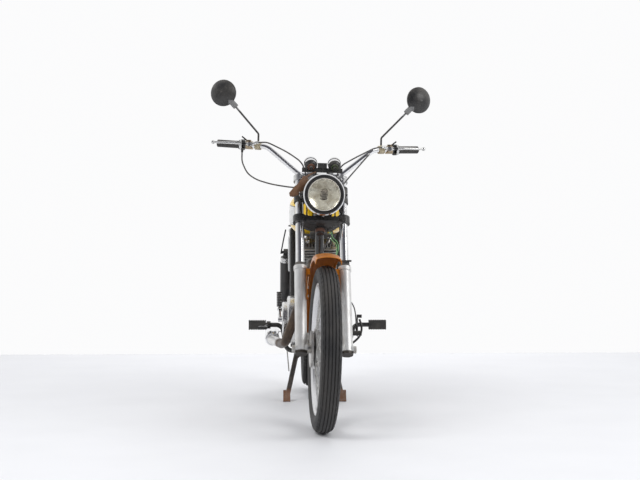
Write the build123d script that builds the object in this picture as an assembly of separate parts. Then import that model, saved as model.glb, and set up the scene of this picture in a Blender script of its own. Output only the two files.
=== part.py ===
# A scrambler motorcycle standing on its centre stand, built node by node.
# Millimetres. +X is the machine's left side, -Y is forward, +Z is up.
# The ground is z = 0 and the origin lies under the middle of the whole machine.
from build123d import *
from math import sin, cos, tan, radians, sqrt
import os

os.makedirs("parts", exist_ok=True)

# Driving dimensions of the rolling chassis
WHEELBASE = 1350.0
FRONT_AXLE_Y = -690.0
REAR_AXLE_Y = FRONT_AXLE_Y + WHEELBASE
STAND_LIFT = 24.0
RAKE = 28.0
FORK_OFFSET = 55.0
REST_STEER = 3.3
FORK_HALF = 88.5
AXLE_DIAMETER = 16.0

# Clearances
RUN_FIT = 0.05
STEM_FIT = 0.1
FRONT_GUARD_CLEARANCE = 48.0
REAR_GUARD_CLEARANCE = 83.0
GUARD_TO_RAIL = 34.0

# Front tyre and rim
FRONT_TYRE_RADIUS = 320.0
FRONT_TYRE_HALF = 41.5
FRONT_BEAD_RADIUS = 243.0
FRONT_BEAD_HALF = 27.0
FRONT_HUB_HALF = 40.0
FRONT_DRUM_RADIUS = 70.0

# Rear tyre and rim
REAR_TYRE_RADIUS = 322.0
REAR_TYRE_HALF = 54.0
REAR_BEAD_RADIUS = 230.0
REAR_BEAD_HALF = 32.0
REAR_HUB_HALF = 46.0
REAR_DRUM_RADIUS = 80.0

# The front tyre stands on the ground and the stand lifts the rear one clear of it
FRONT_AXLE_Z = FRONT_TYRE_RADIUS
REAR_AXLE_Z = REAR_TYRE_RADIUS + STAND_LIFT

# Rims and spokes, shared by both wheels
FLANGE_HEIGHT = 9.0
FLANGE_WIDTH = 3.0
RIM_DEPTH = 9.0
SPOKE_COUNT = 36
SPOKE_DIAMETER = 3.4
SPOKE_SWEEP = 48.0

# Fork
STANCHION_DIAMETER = 34.0
SLIDER_DIAMETER = 46.0
SLIDER_BOTTOM = -23.0
SLIDER_TOP = 351.0
SEAL_DIAMETER = 52.0
SEAL_HEIGHT = 16.0
LOWER_YOKE_BASE = 548.0
LOWER_YOKE_HEIGHT = 30.0
YOKE_SPAN = 192.0
UPPER_YOKE_BASE = LOWER_YOKE_BASE + YOKE_SPAN
UPPER_YOKE_HEIGHT = 25.0
STANCHION_TOP = UPPER_YOKE_BASE + UPPER_YOKE_HEIGHT + 5
STEM_DIAMETER = 30.0
HEAD_TUBE_DIAMETER = 52.0

# Frame
BACKBONE_DIAMETER = 44.0
DOWNTUBE_DIAMETER = 36.0
CRADLE_DIAMETER = 26.0
RAIL_DIAMETER = 22.0
RAIL_HALF = 102.0
CRADLE_HALF = 80.0
CRADLE_Z = 262.0
POST_Y = 185.0
REAR_GUARD_RADIUS = REAR_TYRE_RADIUS + REAR_GUARD_CLEARANCE
RAIL_Z = REAR_AXLE_Z + REAR_GUARD_RADIUS + GUARD_TO_RAIL
RAIL_END_Y = REAR_AXLE_Y + 110.0
PIVOT_Y = 232.0
PIVOT_Z = 400.0
STAND_Y = 290.0
STAND_Z = 255.0

nodes = {}


# Small tools for bars, turned parts and side outlines

def rod(start, end, diameter):
    first, last = Vector(*start), Vector(*end)
    run = last - first
    bar = Cylinder(diameter / 2, run.length, align=(Align.CENTER, Align.CENTER, Align.MIN))
    return Plane(origin=first, z_dir=run).location * bar


def pipe(points, radii, diameter):
    path = FilletPolyline(*points, radius=radii)
    ring = Plane(origin=path @ 0, z_dir=path % 0) * Circle(diameter / 2)
    return sweep(ring, path=path)


def cross_rod(x_from, x_to, y, z, diameter):
    return rod((x_from, y, z), (x_to, y, z), diameter)


def turned(face, y, z):
    return Pos(0, y, z) * revolve(face, Axis.X)


def side_hull(circles):
    edges = ShapeList()
    for y, z, radius in circles:
        edges += (Pos(y, z) * Circle(radius)).edges()
    return make_hull(edges)


def side_slab(outline, x_from, x_to):
    low, high = min(x_from, x_to), max(x_from, x_to)
    return extrude(Plane.YZ.offset(low) * outline, high - low)


def block(x_from, x_to, y_from, y_to, z_from, z_to):
    size = (abs(x_to - x_from), abs(y_to - y_from), abs(z_to - z_from))
    centre = ((x_from + x_to) / 2, (y_from + y_to) / 2, (z_from + z_to) / 2)
    return Pos(*centre) * Box(*size)


def both_sides(part):
    return part + mirror(part, about=Plane.YZ)


def dome(rim, top):
    """Arc from a rim point to the axis, centred on the axis, as (radius, height)."""
    radius, base = rim
    rise = abs(top - base)
    sphere = (radius ** 2 + rise ** 2) / (2 * rise)
    way = 1 if top > base else -1
    middle = top - way * (sphere - sqrt(sphere ** 2 - radius ** 2 / 4))
    return ThreePointArc(rim, (radius / 2, middle), (0, top))


# The fork's own frame: x across, back from the fork line, up along it
FORK = Plane(
    origin=(0, FRONT_AXLE_Y, FRONT_AXLE_Z),
    x_dir=(1, 0, 0),
    z_dir=(0, sin(radians(RAKE)), cos(radians(RAKE))),
)


def fork_point(x, back, up):
    point = FORK.from_local_coords(Vector(x, back, up))
    return (point.X, point.Y, point.Z)


STEER_AXIS = Axis(fork_point(0, FORK_OFFSET, 0), (0, sin(radians(RAKE)), cos(radians(RAKE))))


def steered(part):
    return part.rotate(STEER_AXIS, REST_STEER)


# Wheels

def tyre_face(radius, half, bead_radius, bead_half):
    shoulder = radius - 0.17 * (radius - bead_radius)
    bulge = bead_radius + 0.52 * (radius - bead_radius)
    flange_top = bead_radius + FLANGE_HEIGHT + 0.4
    left = [
        (-bead_half, bead_radius),
        (-bead_half, flange_top),
        (-bead_half - FLANGE_WIDTH - 1, flange_top + 2),
    ]
    edge = (-0.80 * half, shoulder)
    lines = Polyline(*left)
    wall = ThreePointArc(left[-1], (-half, bulge), edge)
    crown = ThreePointArc(edge, (0, radius), (-edge[0], edge[1]))
    other_wall = mirror(wall, about=Plane.YZ)
    other_lines = mirror(lines, about=Plane.YZ)
    base = Line(left[0], (bead_half, bead_radius))
    return make_face([*lines.edges(), wall, crown, *other_wall.edges(), *other_lines.edges(), base])


def rim_face(bead_radius, bead_half):
    outer = bead_half + FLANGE_WIDTH
    top = bead_radius + FLANGE_HEIGHT
    half_outline = [
        (-bead_half, bead_radius),
        (-bead_half, top),
        (-outer, top),
        (-outer, bead_radius + 3),
        (-outer + 7, bead_radius - 4),
        (-bead_half * 0.5, bead_radius - RIM_DEPTH),
    ]
    other_half = [(-x, r) for x, r in reversed(half_outline)]
    return make_face(Polyline(*half_outline, *other_half, close=True))


def hub_face(half, drum_radius, bore):
    flange = drum_radius + 8
    return make_face(Polyline(
        (-half, bore),
        (-half, drum_radius - 6),
        (-half + 2, flange),
        (-half + 8, flange),
        (-half + 10, drum_radius),
        (half - 10, drum_radius),
        (half - 8, flange),
        (half - 2, flange),
        (half, drum_radius - 6),
        (half, bore),
        close=True,
    ))


def spokes(bead_radius, hub_half, drum_radius):
    bars = []
    hub_radius = drum_radius + 3
    rim_radius = bead_radius - RIM_DEPTH + 4
    for index in range(SPOKE_COUNT):
        side = 1 if index % 2 else -1
        lean = 1 if (index // 2) % 2 else -1
        rim_angle = radians(index * 360 / SPOKE_COUNT)
        hub_angle = rim_angle + radians(lean * SPOKE_SWEEP)
        hub_x = side * (hub_half - 5 + 2 * lean)
        rim_x = side * (4 + 2 * lean)
        hub_end = (hub_x, hub_radius * cos(hub_angle), hub_radius * sin(hub_angle))
        rim_end = (rim_x, rim_radius * cos(rim_angle), rim_radius * sin(rim_angle))
        bars.append(rod(hub_end, rim_end, SPOKE_DIAMETER))
    return bars


def wire_wheel(bead_radius, bead_half, hub_half, drum_radius):
    rim = revolve(rim_face(bead_radius, bead_half), Axis.X)
    hub = revolve(hub_face(hub_half, drum_radius, AXLE_DIAMETER / 2 + RUN_FIT), Axis.X)
    wheel = rim + hub
    return wheel.fuse(*spokes(bead_radius, hub_half, drum_radius))


nodes["front_tyre"] = turned(
    tyre_face(FRONT_TYRE_RADIUS, FRONT_TYRE_HALF, FRONT_BEAD_RADIUS, FRONT_BEAD_HALF),
    FRONT_AXLE_Y, FRONT_AXLE_Z)
nodes["front_wheel"] = Pos(0, FRONT_AXLE_Y, FRONT_AXLE_Z) * wire_wheel(
    FRONT_BEAD_RADIUS, FRONT_BEAD_HALF, FRONT_HUB_HALF, FRONT_DRUM_RADIUS)
nodes["rear_tyre"] = turned(
    tyre_face(REAR_TYRE_RADIUS, REAR_TYRE_HALF, REAR_BEAD_RADIUS, REAR_BEAD_HALF),
    REAR_AXLE_Y, REAR_AXLE_Z)
nodes["rear_wheel"] = Pos(0, REAR_AXLE_Y, REAR_AXLE_Z) * wire_wheel(
    REAR_BEAD_RADIUS, REAR_BEAD_HALF, REAR_HUB_HALF, REAR_DRUM_RADIUS)

# Fork: sliders carry the axle, stanchions run up through both yokes
AXLE_END = FORK_HALF + 30.0
slider = rod((FORK_HALF, 0, SLIDER_BOTTOM), (FORK_HALF, 0, SLIDER_TOP), SLIDER_DIAMETER)
slider += rod((FORK_HALF, 0, SLIDER_TOP - SEAL_HEIGHT), (FORK_HALF, 0, SLIDER_TOP), SEAL_DIAMETER)
slider += rod((FORK_HALF - 23, 0, 0), (FORK_HALF + 23, 0, 0), 40)
slider += block(FORK_HALF - 9, FORK_HALF + 9, 18, 34, -16, 16)
STANCHION_FOOT = 290.0
slider -= rod((FORK_HALF, 0, STANCHION_FOOT), (FORK_HALF, 0, SLIDER_TOP + 1), STANCHION_DIAMETER)
slider -= cross_rod(FORK_HALF - 40, FORK_HALF + 40, 0, 0, AXLE_DIAMETER)

stanchion = rod((FORK_HALF, 0, STANCHION_FOOT), (FORK_HALF, 0, STANCHION_TOP), STANCHION_DIAMETER)
stanchion += rod((FORK_HALF, 0, STANCHION_TOP), (FORK_HALF, 0, STANCHION_TOP + 8), 26)


def yoke(base, height, clamp_radius, stem_radius):
    """Two clamp rings joined by a thinner web that widens round the stem."""
    edges = ShapeList()
    for x, back, radius in (
        (-FORK_HALF, 2, clamp_radius - 6), (FORK_HALF, 2, clamp_radius - 6), (0, FORK_OFFSET, stem_radius),
    ):
        edges += (Pos(x, back) * Circle(radius)).edges()
    body = Pos(0, 0, base + 5) * extrude(make_hull(edges), height - 10)
    body += rod((0, FORK_OFFSET, base), (0, FORK_OFFSET, base + height), 2 * stem_radius)
    for x in (-FORK_HALF, FORK_HALF):
        body += rod((x, 0, base), (x, 0, base + height), 2 * clamp_radius)
        body += rod((x * 0.86, -clamp_radius - 3, base + height / 2), (x * 0.86, 0, base + height / 2), 13)
    for x in (-FORK_HALF, FORK_HALF):
        body -= rod((x, 0, base - 1), (x, 0, base + height + 1), STANCHION_DIAMETER)
    return body


lower_yoke = yoke(LOWER_YOKE_BASE, LOWER_YOKE_HEIGHT, 27, 26)
STEM_TOP = UPPER_YOKE_BASE + UPPER_YOKE_HEIGHT
stem_line = (0, FORK_OFFSET)
lower_yoke += rod((*stem_line, LOWER_YOKE_BASE - 18), (*stem_line, LOWER_YOKE_BASE), 36)
stem = rod((*stem_line, LOWER_YOKE_BASE), (*stem_line, STEM_TOP), STEM_DIAMETER)
lower_yoke += stem
upper_yoke = yoke(UPPER_YOKE_BASE, UPPER_YOKE_HEIGHT, 23, 24)
upper_yoke -= stem
upper_yoke += rod((*stem_line, STEM_TOP), (*stem_line, STEM_TOP + 12), 34)

# Bar clamps stand on the upper yoke
BAR_DIAMETER = 22.0
BAR_BACK = 30.0
BAR_UP = STEM_TOP + 26
CLAMP_X = 42.0
bar_post = rod((CLAMP_X, BAR_BACK, STEM_TOP - 12), (CLAMP_X, BAR_BACK, BAR_UP), 24)
bar_post += cross_rod(CLAMP_X - 13, CLAMP_X + 13, BAR_BACK, BAR_UP, 38)
bar_post -= cross_rod(CLAMP_X - 20, CLAMP_X + 20, BAR_BACK, BAR_UP, BAR_DIAMETER)
upper_yoke += both_sides(bar_post)

front_axle = cross_rod(-AXLE_END, AXLE_END, 0, 0, AXLE_DIAMETER)
hex_nut = extrude(Plane.YZ * RegularPolygon(14, 6), 12)
front_axle += Pos(FORK_HALF + 23, 0, 0) * hex_nut
front_axle += Pos(-FORK_HALF - 35, 0, 0) * hex_nut
BRAKE_GAP = 5.0
plate_from = -FRONT_HUB_HALF - BRAKE_GAP
front_axle += cross_rod(plate_from, plate_from - 8, 0, 0, 2 * FRONT_DRUM_RADIUS)
front_axle += cross_rod(plate_from - 8, -FORK_HALF + 23, 0, 0, 34)
front_axle += cross_rod(FRONT_HUB_HALF + 3, FORK_HALF - 23, 0, 0, 30)
ARM_PIVOT = (38, 30)
front_axle += cross_rod(plate_from - 4, plate_from - 18, *ARM_PIVOT, 14)
front_axle += rod((plate_from - 14, *ARM_PIVOT), (plate_from - 14, ARM_PIVOT[0] + 14, 88), 9)

for name, part in (
    ("fork_sliders", both_sides(slider)),
    ("fork_stanchions", both_sides(stanchion)),
    ("lower_yoke", lower_yoke),
    ("upper_yoke", upper_yoke),
    ("front_axle", front_axle),
):
    nodes[name] = FORK.location * part

# Front mudguard: a crowned arc carried by the sliders
GUARD_RADIUS = FRONT_TYRE_RADIUS + FRONT_GUARD_CLEARANCE
GUARD_HALF = 50.0
GUARD_DROP = 30.0
GUARD_SKIN = 2.5
GUARD_CORNER = 16.0
GUARD_CROWN = 5.0


def guard_line(radius, half, drop, corner):
    """Half of a mudguard's section as edges, from its side's lower end to the crown."""
    bend = radius - GUARD_CROWN
    side = Line((half, radius - drop), (half, bend - corner))
    turn = corner * (1 - sqrt(0.5))
    shoulder = ThreePointArc((half, bend - corner), (half - turn, bend - turn), (half - corner, bend))
    return [side, shoulder]


def guard_face(radius, half, drop, skin):
    outer = guard_line(radius, half, drop, GUARD_CORNER)
    inner = guard_line(radius - skin, half - skin, drop - skin, GUARD_CORNER - skin)
    edges = []
    for half_line, top in ((outer, radius), (inner, radius - skin)):
        others = [mirror(line, about=Plane.YZ) for line in half_line]
        edges += half_line
        edges += [edge for line in others for edge in line.edges()]
        end = half_line[-1] @ 1
        edges.append(ThreePointArc((-end.X, end.Y), (0, top), (end.X, end.Y)))
    for side in (-1, 1):
        edges.append(Line((side * half, radius - drop), (side * (half - skin), radius - drop)))
    return make_face(edges)


def guard(radius, half, drop, skin, start, end, y, z):
    arc = revolve(guard_face(radius, half, drop, skin), Axis.X, revolution_arc=end - start)
    return Pos(0, y, z) * Rot(start, 0, 0) * arc


front_guard = guard(
    GUARD_RADIUS, GUARD_HALF, GUARD_DROP, GUARD_SKIN, -5, 105, FRONT_AXLE_Y, FRONT_AXLE_Z)
nodes["front_fender"] = front_guard

# Tabs from the slider tops reach under the mudguard's edges; a stay holds its tail
guard_tab = FORK.location * block(GUARD_HALF - 1, FORK_HALF - 8, 10, 16, 318, 344)
guard_stay = rod(
    (FORK_HALF - 20, FRONT_AXLE_Y + 12, FRONT_AXLE_Z - 14),
    (GUARD_HALF + 3, FRONT_AXLE_Y + GUARD_RADIUS - 26, FRONT_AXLE_Z + 20), 8)
guard_mounts = both_sides(guard_tab + guard_stay) - front_guard
nodes["fork_sliders"] = (
    nodes["fork_sliders"] + guard_mounts - nodes["fork_stanchions"] - nodes["front_axle"])


def mirrored(point):
    return (-point[0], point[1], point[2])


# Handlebar, grips and hand levers
BAR_CENTRE = fork_point(0, BAR_BACK, BAR_UP)
BAR_FLAT = 82.0
BAR_BEND = (222.0, BAR_CENTRE[1] + 14, BAR_CENTRE[2] + 115)
BAR_TIP = (418.0, BAR_CENTRE[1] + 104, BAR_CENTRE[2] + 128)
GRIP_LENGTH = 100.0
GRIP_DIAMETER = 31.0
bar_half = [(BAR_FLAT, BAR_CENTRE[1], BAR_CENTRE[2]), BAR_BEND, BAR_TIP]
bar_points = [mirrored(point) for point in reversed(bar_half)] + bar_half
nodes["handlebar"] = pipe(bar_points, [60, 50, 50, 60], BAR_DIAMETER)

bar_run = (Vector(*BAR_TIP) - Vector(*BAR_BEND)).normalized()


def on_bar(distance):
    """Point on the bar's straight outer run, measured inward from its tip."""
    point = Vector(*BAR_TIP) - bar_run * distance
    return (point.X, point.Y, point.Z)


grip = rod(on_bar(GRIP_LENGTH), on_bar(-4), GRIP_DIAMETER)
grip += rod(on_bar(GRIP_LENGTH), on_bar(GRIP_LENGTH - 6), GRIP_DIAMETER + 8)
grip -= rod(on_bar(GRIP_LENGTH + 1), on_bar(0), BAR_DIAMETER)
nodes["grips"] = both_sides(grip)

PERCH_AT = GRIP_LENGTH + 38.0
perch = rod(on_bar(PERCH_AT + 14), on_bar(PERCH_AT - 14), 34)
switch_case = rod(on_bar(GRIP_LENGTH + 1), on_bar(GRIP_LENGTH + 14), 46)
switch_case += rod(on_bar(GRIP_LENGTH + 13), on_bar(PERCH_AT - 13), 30)
perch_centre = Vector(*on_bar(PERCH_AT))
lever_pivot = perch_centre + Vector(0, -34, 2)
arm = rod(tuple(perch_centre), tuple(lever_pivot), 18)
lever_mid = lever_pivot + bar_run * 64 + Vector(0, -20, 0)
lever_tip = lever_mid + bar_run * 102 + Vector(0, 4, -2)
lever = rod(tuple(lever_pivot), tuple(lever_mid), 11)
lever += rod(tuple(lever_mid), tuple(lever_tip), 9)
lever += Pos(*tuple(lever_mid)) * Sphere(5.5)
lever += Pos(*tuple(lever_tip)) * Sphere(8)
lever += Pos(*tuple(lever_pivot)) * Cylinder(11, 16)
CABLE_DIAMETER = 6.0
ADJUSTER_LENGTH = 26.0
adjuster_from = lever_pivot - bar_run * 6 + Vector(0, 6, 0)
adjuster_to = adjuster_from - bar_run * ADJUSTER_LENGTH + Vector(0, -4, 8)
adjuster = rod(tuple(adjuster_from), tuple(adjuster_to), 12)
thumb_from = perch_centre + Vector(0, 0, 12)
thumb_lever = rod(tuple(thumb_from), tuple(thumb_from + bar_run * 34 + Vector(0, -6, 22)), 6)
thumb_lever += rod(tuple(perch_centre), tuple(perch_centre + Vector(0, 0, 22)), 16)
lever_set = perch + switch_case + arm + lever + adjuster + thumb_lever
lever_set -= rod(on_bar(PERCH_AT + 40), on_bar(GRIP_LENGTH - 20), BAR_DIAMETER)
nodes["control_levers"] = both_sides(lever_set)

# Mirrors stand on clamps inboard of the perches
MIRROR_RADIUS = 54.0
MIRROR_CENTRE = (405.0, BAR_CENTRE[1] + 8, BAR_TIP[2] + 200)
MIRROR_TURN = 22.0
CLAMP_AT = PERCH_AT + 40.0
clamp_point = Vector(*on_bar(CLAMP_AT))
knee = clamp_point + Vector(0, 0, 50)
neck = Vector(*MIRROR_CENTRE) + Vector(-36, -14, -40)
mirror_stem = pipe([tuple(clamp_point + Vector(0, 0, 13)), tuple(knee), tuple(neck)], [12], 8)
mirror_clamp = rod(on_bar(CLAMP_AT + 11), on_bar(CLAMP_AT - 11), 34)
mirror_clamp -= rod(on_bar(CLAMP_AT + 20), on_bar(CLAMP_AT - 20), BAR_DIAMETER)
shell_profile = make_face([
    Line((0, -30), (0, 0)),
    Line((0, 0), (MIRROR_RADIUS, 0)),
    Line((MIRROR_RADIUS, 0), (MIRROR_RADIUS, -8)),
    dome((MIRROR_RADIUS, -8), -30),
])
mirror_head = Pos(*MIRROR_CENTRE) * Rot(0, 0, MIRROR_TURN) * revolve(shell_profile, Axis.Y)
neck_block = rod(tuple(neck - Vector(16, 0, 17)), tuple(neck + Vector(11, 4, 12)), 24)
nodes["mirrors"] = both_sides(mirror_clamp + mirror_stem + mirror_head + neck_block)

# Headlight: shell with ears round the stanchions, rim, lens
LAMP_RISE = 99.3
LAMP_REACH = 136.0
LAMP_RADIUS = 78.0
RIM_RADIUS = 83.0
LENS_RADIUS = 69.0
EAR_UP = LOWER_YOKE_BASE + LOWER_YOKE_HEIGHT + LAMP_RISE
ear_line_y = fork_point(0, 0, EAR_UP)[1]
LAMP_Z = fork_point(0, 0, EAR_UP)[2]
LAMP_FACE_Y = ear_line_y - LAMP_REACH


def facing_forward(profile):
    """Turn a profile of radius and depth about the lamp's forward axis."""
    return Pos(0, LAMP_FACE_Y, LAMP_Z) * revolve(profile, Axis.Y)


lamp_shell = facing_forward(make_face([
    Line((0, 0), (LAMP_RADIUS, 0)),
    Line((LAMP_RADIUS, 0), (LAMP_RADIUS, 30)),
    dome((LAMP_RADIUS, 30), 112),
    Line((0, 112), (0, 0)),
]))
nodes["headlight_rim"] = facing_forward(make_face(Polyline(
    (LENS_RADIUS, -12), (RIM_RADIUS - 7, -16), (RIM_RADIUS - 4, -16), (RIM_RADIUS, -11),
    (RIM_RADIUS, 12), (LAMP_RADIUS, 12), (LAMP_RADIUS, 0),
    (LENS_RADIUS - 4, 0), (LENS_RADIUS - 4, -6), (LENS_RADIUS, -8), close=True)))
nodes["headlight_lens"] = facing_forward(make_face([
    Line((0, 0), (LENS_RADIUS - 4, 0)),
    Line((LENS_RADIUS - 4, 0), (LENS_RADIUS - 4, -6)),
    Line((LENS_RADIUS - 4, -6), (LENS_RADIUS, -8)),
    Line((LENS_RADIUS, -8), (LENS_RADIUS, -12)),
    dome((LENS_RADIUS, -12), -20),
    Line((0, -20), (0, 0)),
]))
EAR_BOLT_Y = LAMP_FACE_Y + 44.0
EAR_X = LAMP_RADIUS + 1.0
sleeve = FORK.location * rod((FORK_HALF, 0, EAR_UP - 36), (FORK_HALF, 0, EAR_UP + 36), 44)
ear_plate = side_slab(
    side_hull([(EAR_BOLT_Y, LAMP_Z, 12), (ear_line_y, LAMP_Z, 20)]), EAR_X, EAR_X + 8)
ear_bolt = cross_rod(LAMP_RADIUS - 14, EAR_X + 18, EAR_BOLT_Y, LAMP_Z, 15)
ears = both_sides(sleeve + ear_plate + ear_bolt)
nodes["headlight_shell"] = lamp_shell + ears - nodes["fork_stanchions"]

# Two small instruments in cups, and a warning lamp block, on a bracket over the lamp
yoke_front = fork_point(0, 0, STEM_TOP)
DIAL_X = 48.0
DIAL_Y = yoke_front[1] - 67
DIAL_Z = yoke_front[2] + 56
DIAL_TILT = 58.0
DIAL_RADIUS = 25.0
CUP_DEPTH = 34.0
cup_profile = make_face(Polyline(
    (0, 0), (DIAL_RADIUS + 2, 0), (DIAL_RADIUS + 2, -8), (DIAL_RADIUS, -8), (DIAL_RADIUS, -CUP_DEPTH + 8),
    (DIAL_RADIUS - 7, -CUP_DEPTH), (15, -CUP_DEPTH), (15, -CUP_DEPTH - 5),
    (7, -CUP_DEPTH - 5), (7, -CUP_DEPTH - 18), (0, -CUP_DEPTH - 18), close=True))
dial = Pos(DIAL_X, DIAL_Y, DIAL_Z) * Rot(-DIAL_TILT, 0, 0) * revolve(Plane.XZ * cup_profile, Axis.Z)
PLATE_TOP = DIAL_Z - 22.0
bridge = block(-DIAL_X - 34, DIAL_X + 34, DIAL_Y - 10, DIAL_Y + 4, PLATE_TOP - 18, PLATE_TOP)
bridge += block(-18, 18, DIAL_Y - 14, DIAL_Y + 16, PLATE_TOP - 2, PLATE_TOP + 20)
bracket_foot = rod(
    (26, DIAL_Y - 2, PLATE_TOP - 12), fork_point(26, 12, UPPER_YOKE_BASE + 14), 12)
instrument_set = both_sides(dial) + bridge + both_sides(bracket_foot)
nodes["instruments"] = instrument_set - nodes["upper_yoke"] - nodes["headlight_shell"] - nodes["handlebar"]

# Control cables: held by a lever or switch at one end, by the lamp shell or lower yoke at the other

def cable(points):
    """A round cord through the points, bent by the widest arcs its runs allow."""
    radii = []
    for before, corner, after in zip(points, points[1:], points[2:]):
        run_in, run_out = Vector(*corner) - Vector(*before), Vector(*after) - Vector(*corner)
        half_turn = radians(run_in.get_angle(run_out) / 2)
        radii.append(0.45 * min(run_in.length, run_out.length) / tan(half_turn))
    path = FilletPolyline(*points, radius=radii)
    ring = Plane(origin=path @ 0, z_dir=path % 0) * Circle(CABLE_DIAMETER / 2)
    cord = sweep(ring, path=path)
    share = cord.volume / (ring.area * path.length)
    print("cable length", round(path.length), "smallest radius", round(min(radii)), "share", round(share, 4))
    return cord


ADJUSTER_MOUTH = tuple(adjuster_to + bar_run * 8)
YOKE_CLIP = [(62, -372, 1000), (58, -384, 930), (58, -391, 872), (57, -402, 812)]
CABLE_ROUTES = {
    "throttle": [
        (-322, -236, 1112), (-322, -242, 1056), (-300, -270, 1006), (-262, -318, 978),
        (-200, -376, 958), (-128, -424, 947), (-56, -440, 944)],
    "front brake": [
        mirrored(point) for point in [
            ADJUSTER_MOUTH, (222, -312, 1134), (140, -346, 1094), (80, -368, 1052)] + YOKE_CLIP],
    "clutch": [ADJUSTER_MOUTH, (222, -312, 1124), (140, -346, 1080), (80, -368, 1044)] + YOKE_CLIP,
    "switch lead": [
        (206, -282, 1104), (190, -312, 1084), (118, -390, 1004), (84, -424, 964), (44, -440, 946)],
}
CABLE_HOLDERS = {
    "throttle": ("control_levers", "headlight_shell"),
    "front brake": ("control_levers", "lower_yoke"),
    "clutch": ("control_levers", "lower_yoke"),
    "switch lead": ("handlebar", "headlight_shell"),
}
FERRULE_DIAMETER = 10.0
START_FERRULE = 18.0
END_FERRULE = 26.0
CABLE_GAP = 0.3
cords = []
for name, points in CABLE_ROUTES.items():
    first, last = Vector(*points[0]), Vector(*points[-1])
    start = first + (Vector(*points[1]) - first).normalized() * START_FERRULE
    end = last + (Vector(*points[-2]) - last).normalized() * END_FERRULE
    start_holder, end_holder = CABLE_HOLDERS[name]
    nodes[start_holder] = nodes[start_holder] + rod(tuple(first), tuple(start), FERRULE_DIAMETER)
    nodes[end_holder] = nodes[end_holder] + rod(tuple(last), tuple(end), FERRULE_DIAMETER)
    cord_start = first + (start - first) * (1 + CABLE_GAP / START_FERRULE)
    cord_end = last + (end - last) * (1 + CABLE_GAP / END_FERRULE)
    cords.append(cable([tuple(cord_start)] + points[1:-1] + [tuple(cord_end)]))
nodes["control_cables"] = Compound(children=[cord.solids()[0] for cord in cords])

# Frame: head tube, backbone and downtube
HEAD_LOW = LOWER_YOKE_BASE + LOWER_YOKE_HEIGHT + 6
HEAD_HIGH = UPPER_YOKE_BASE - 6
BACKBONE_UP = 88.0
DOWNTUBE_UP = 64.0
backbone_front = fork_point(0, FORK_OFFSET, HEAD_LOW + BACKBONE_UP)
backbone_rear = (0, POST_Y, RAIL_Z - 16)
backbone_low, backbone_run = Vector(*backbone_front), Vector(*backbone_rear) - Vector(*backbone_front)
TUNNEL_WIDTH = 56.0
DOWNTUBE_FOOT = (0, -205, 300)
frame_main = FORK.location * rod(
    (*stem_line, HEAD_LOW), (*stem_line, HEAD_HIGH), HEAD_TUBE_DIAMETER)
frame_main += rod(backbone_front, backbone_rear, BACKBONE_DIAMETER)
for collar_at in (0.26, 0.80):
    collar_low = backbone_low + backbone_run * (collar_at - 0.02)
    collar_high = backbone_low + backbone_run * (collar_at + 0.02)
    frame_main += rod(tuple(collar_low), tuple(collar_high), TUNNEL_WIDTH)
frame_main += rod(fork_point(0, FORK_OFFSET, HEAD_LOW + DOWNTUBE_UP), DOWNTUBE_FOOT, DOWNTUBE_DIAMETER)
frame_main += side_slab(side_hull([
    (backbone_front[1] + 20, backbone_front[2] - 10, 12),
    (backbone_front[1] + 30, backbone_front[2] - 90, 8),
    (backbone_front[1] + 110, backbone_front[2] - 32, 8)]), -4, 4)
frame_main += cross_rod(-CRADLE_HALF, CRADLE_HALF, DOWNTUBE_FOOT[1], DOWNTUBE_FOOT[2] - 6, 34)
frame_main -= FORK.location * rod(
    (*stem_line, HEAD_LOW - 1), (*stem_line, HEAD_HIGH + 1), STEM_DIAMETER + 2 * STEM_FIT)

# Rear frame: rails, rear loop, diagonals and shock lugs
SHOCK_X = 128.0
SHOCK_TOP = (REAR_AXLE_Y - 155, RAIL_Z - 105)
SHOCK_FOOT = (REAR_AXLE_Y - 48, REAR_AXLE_Z + 16)
rail = rod((RAIL_HALF, POST_Y, RAIL_Z), (RAIL_HALF, RAIL_END_Y - 40, RAIL_Z), RAIL_DIAMETER)
rear_loop = pipe([
    (-RAIL_HALF, RAIL_END_Y - 41, RAIL_Z), (-RAIL_HALF, RAIL_END_Y, RAIL_Z),
    (RAIL_HALF, RAIL_END_Y, RAIL_Z), (RAIL_HALF, RAIL_END_Y - 41, RAIL_Z)],
    [30, 30], RAIL_DIAMETER)
diagonal_low = (POST_Y + 8, RAIL_Z - 275)
diagonal_high = (REAR_AXLE_Y - 70, RAIL_Z)
diagonal_slope = (diagonal_high[1] - diagonal_low[1]) / (diagonal_high[0] - diagonal_low[0])
lug_z = diagonal_low[1] + diagonal_slope * (SHOCK_TOP[0] + 4 - diagonal_low[0])
diagonal = rod((RAIL_HALF, *diagonal_low), (RAIL_HALF, *diagonal_high), 20)
shock_lug = side_slab(side_hull([
    (SHOCK_TOP[0], SHOCK_TOP[1], 16), (SHOCK_TOP[0] + 4, lug_z, 18)]),
    RAIL_HALF - 5, RAIL_HALF + 5)
shock_stud = cross_rod(RAIL_HALF, SHOCK_X + 26, *SHOCK_TOP, 14)
rack_tab = block(
    RAIL_HALF - 44, RAIL_HALF - 4, RAIL_END_Y - 52, RAIL_END_Y - 12, RAIL_Z - 3, RAIL_Z + 3)
RACK_HOLE_X = 74.0
RACK_HOLE_Y = RAIL_END_Y - 34
RACK_HOLE = 8.4
rack_hole = rod(
    (RACK_HOLE_X, RACK_HOLE_Y, RAIL_Z - 20), (RACK_HOLE_X, RACK_HOLE_Y, RAIL_Z + 20), RACK_HOLE)
GUARD_TIE_Y = REAR_AXLE_Y - 40
frame_rear = both_sides(rail + diagonal + shock_lug + shock_stud + rack_tab) + rear_loop
frame_rear += cross_rod(-RAIL_HALF, RAIL_HALF, POST_Y, RAIL_Z, RAIL_DIAMETER)
frame_rear += cross_rod(-RAIL_HALF, RAIL_HALF, GUARD_TIE_Y, RAIL_Z, 20)
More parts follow.
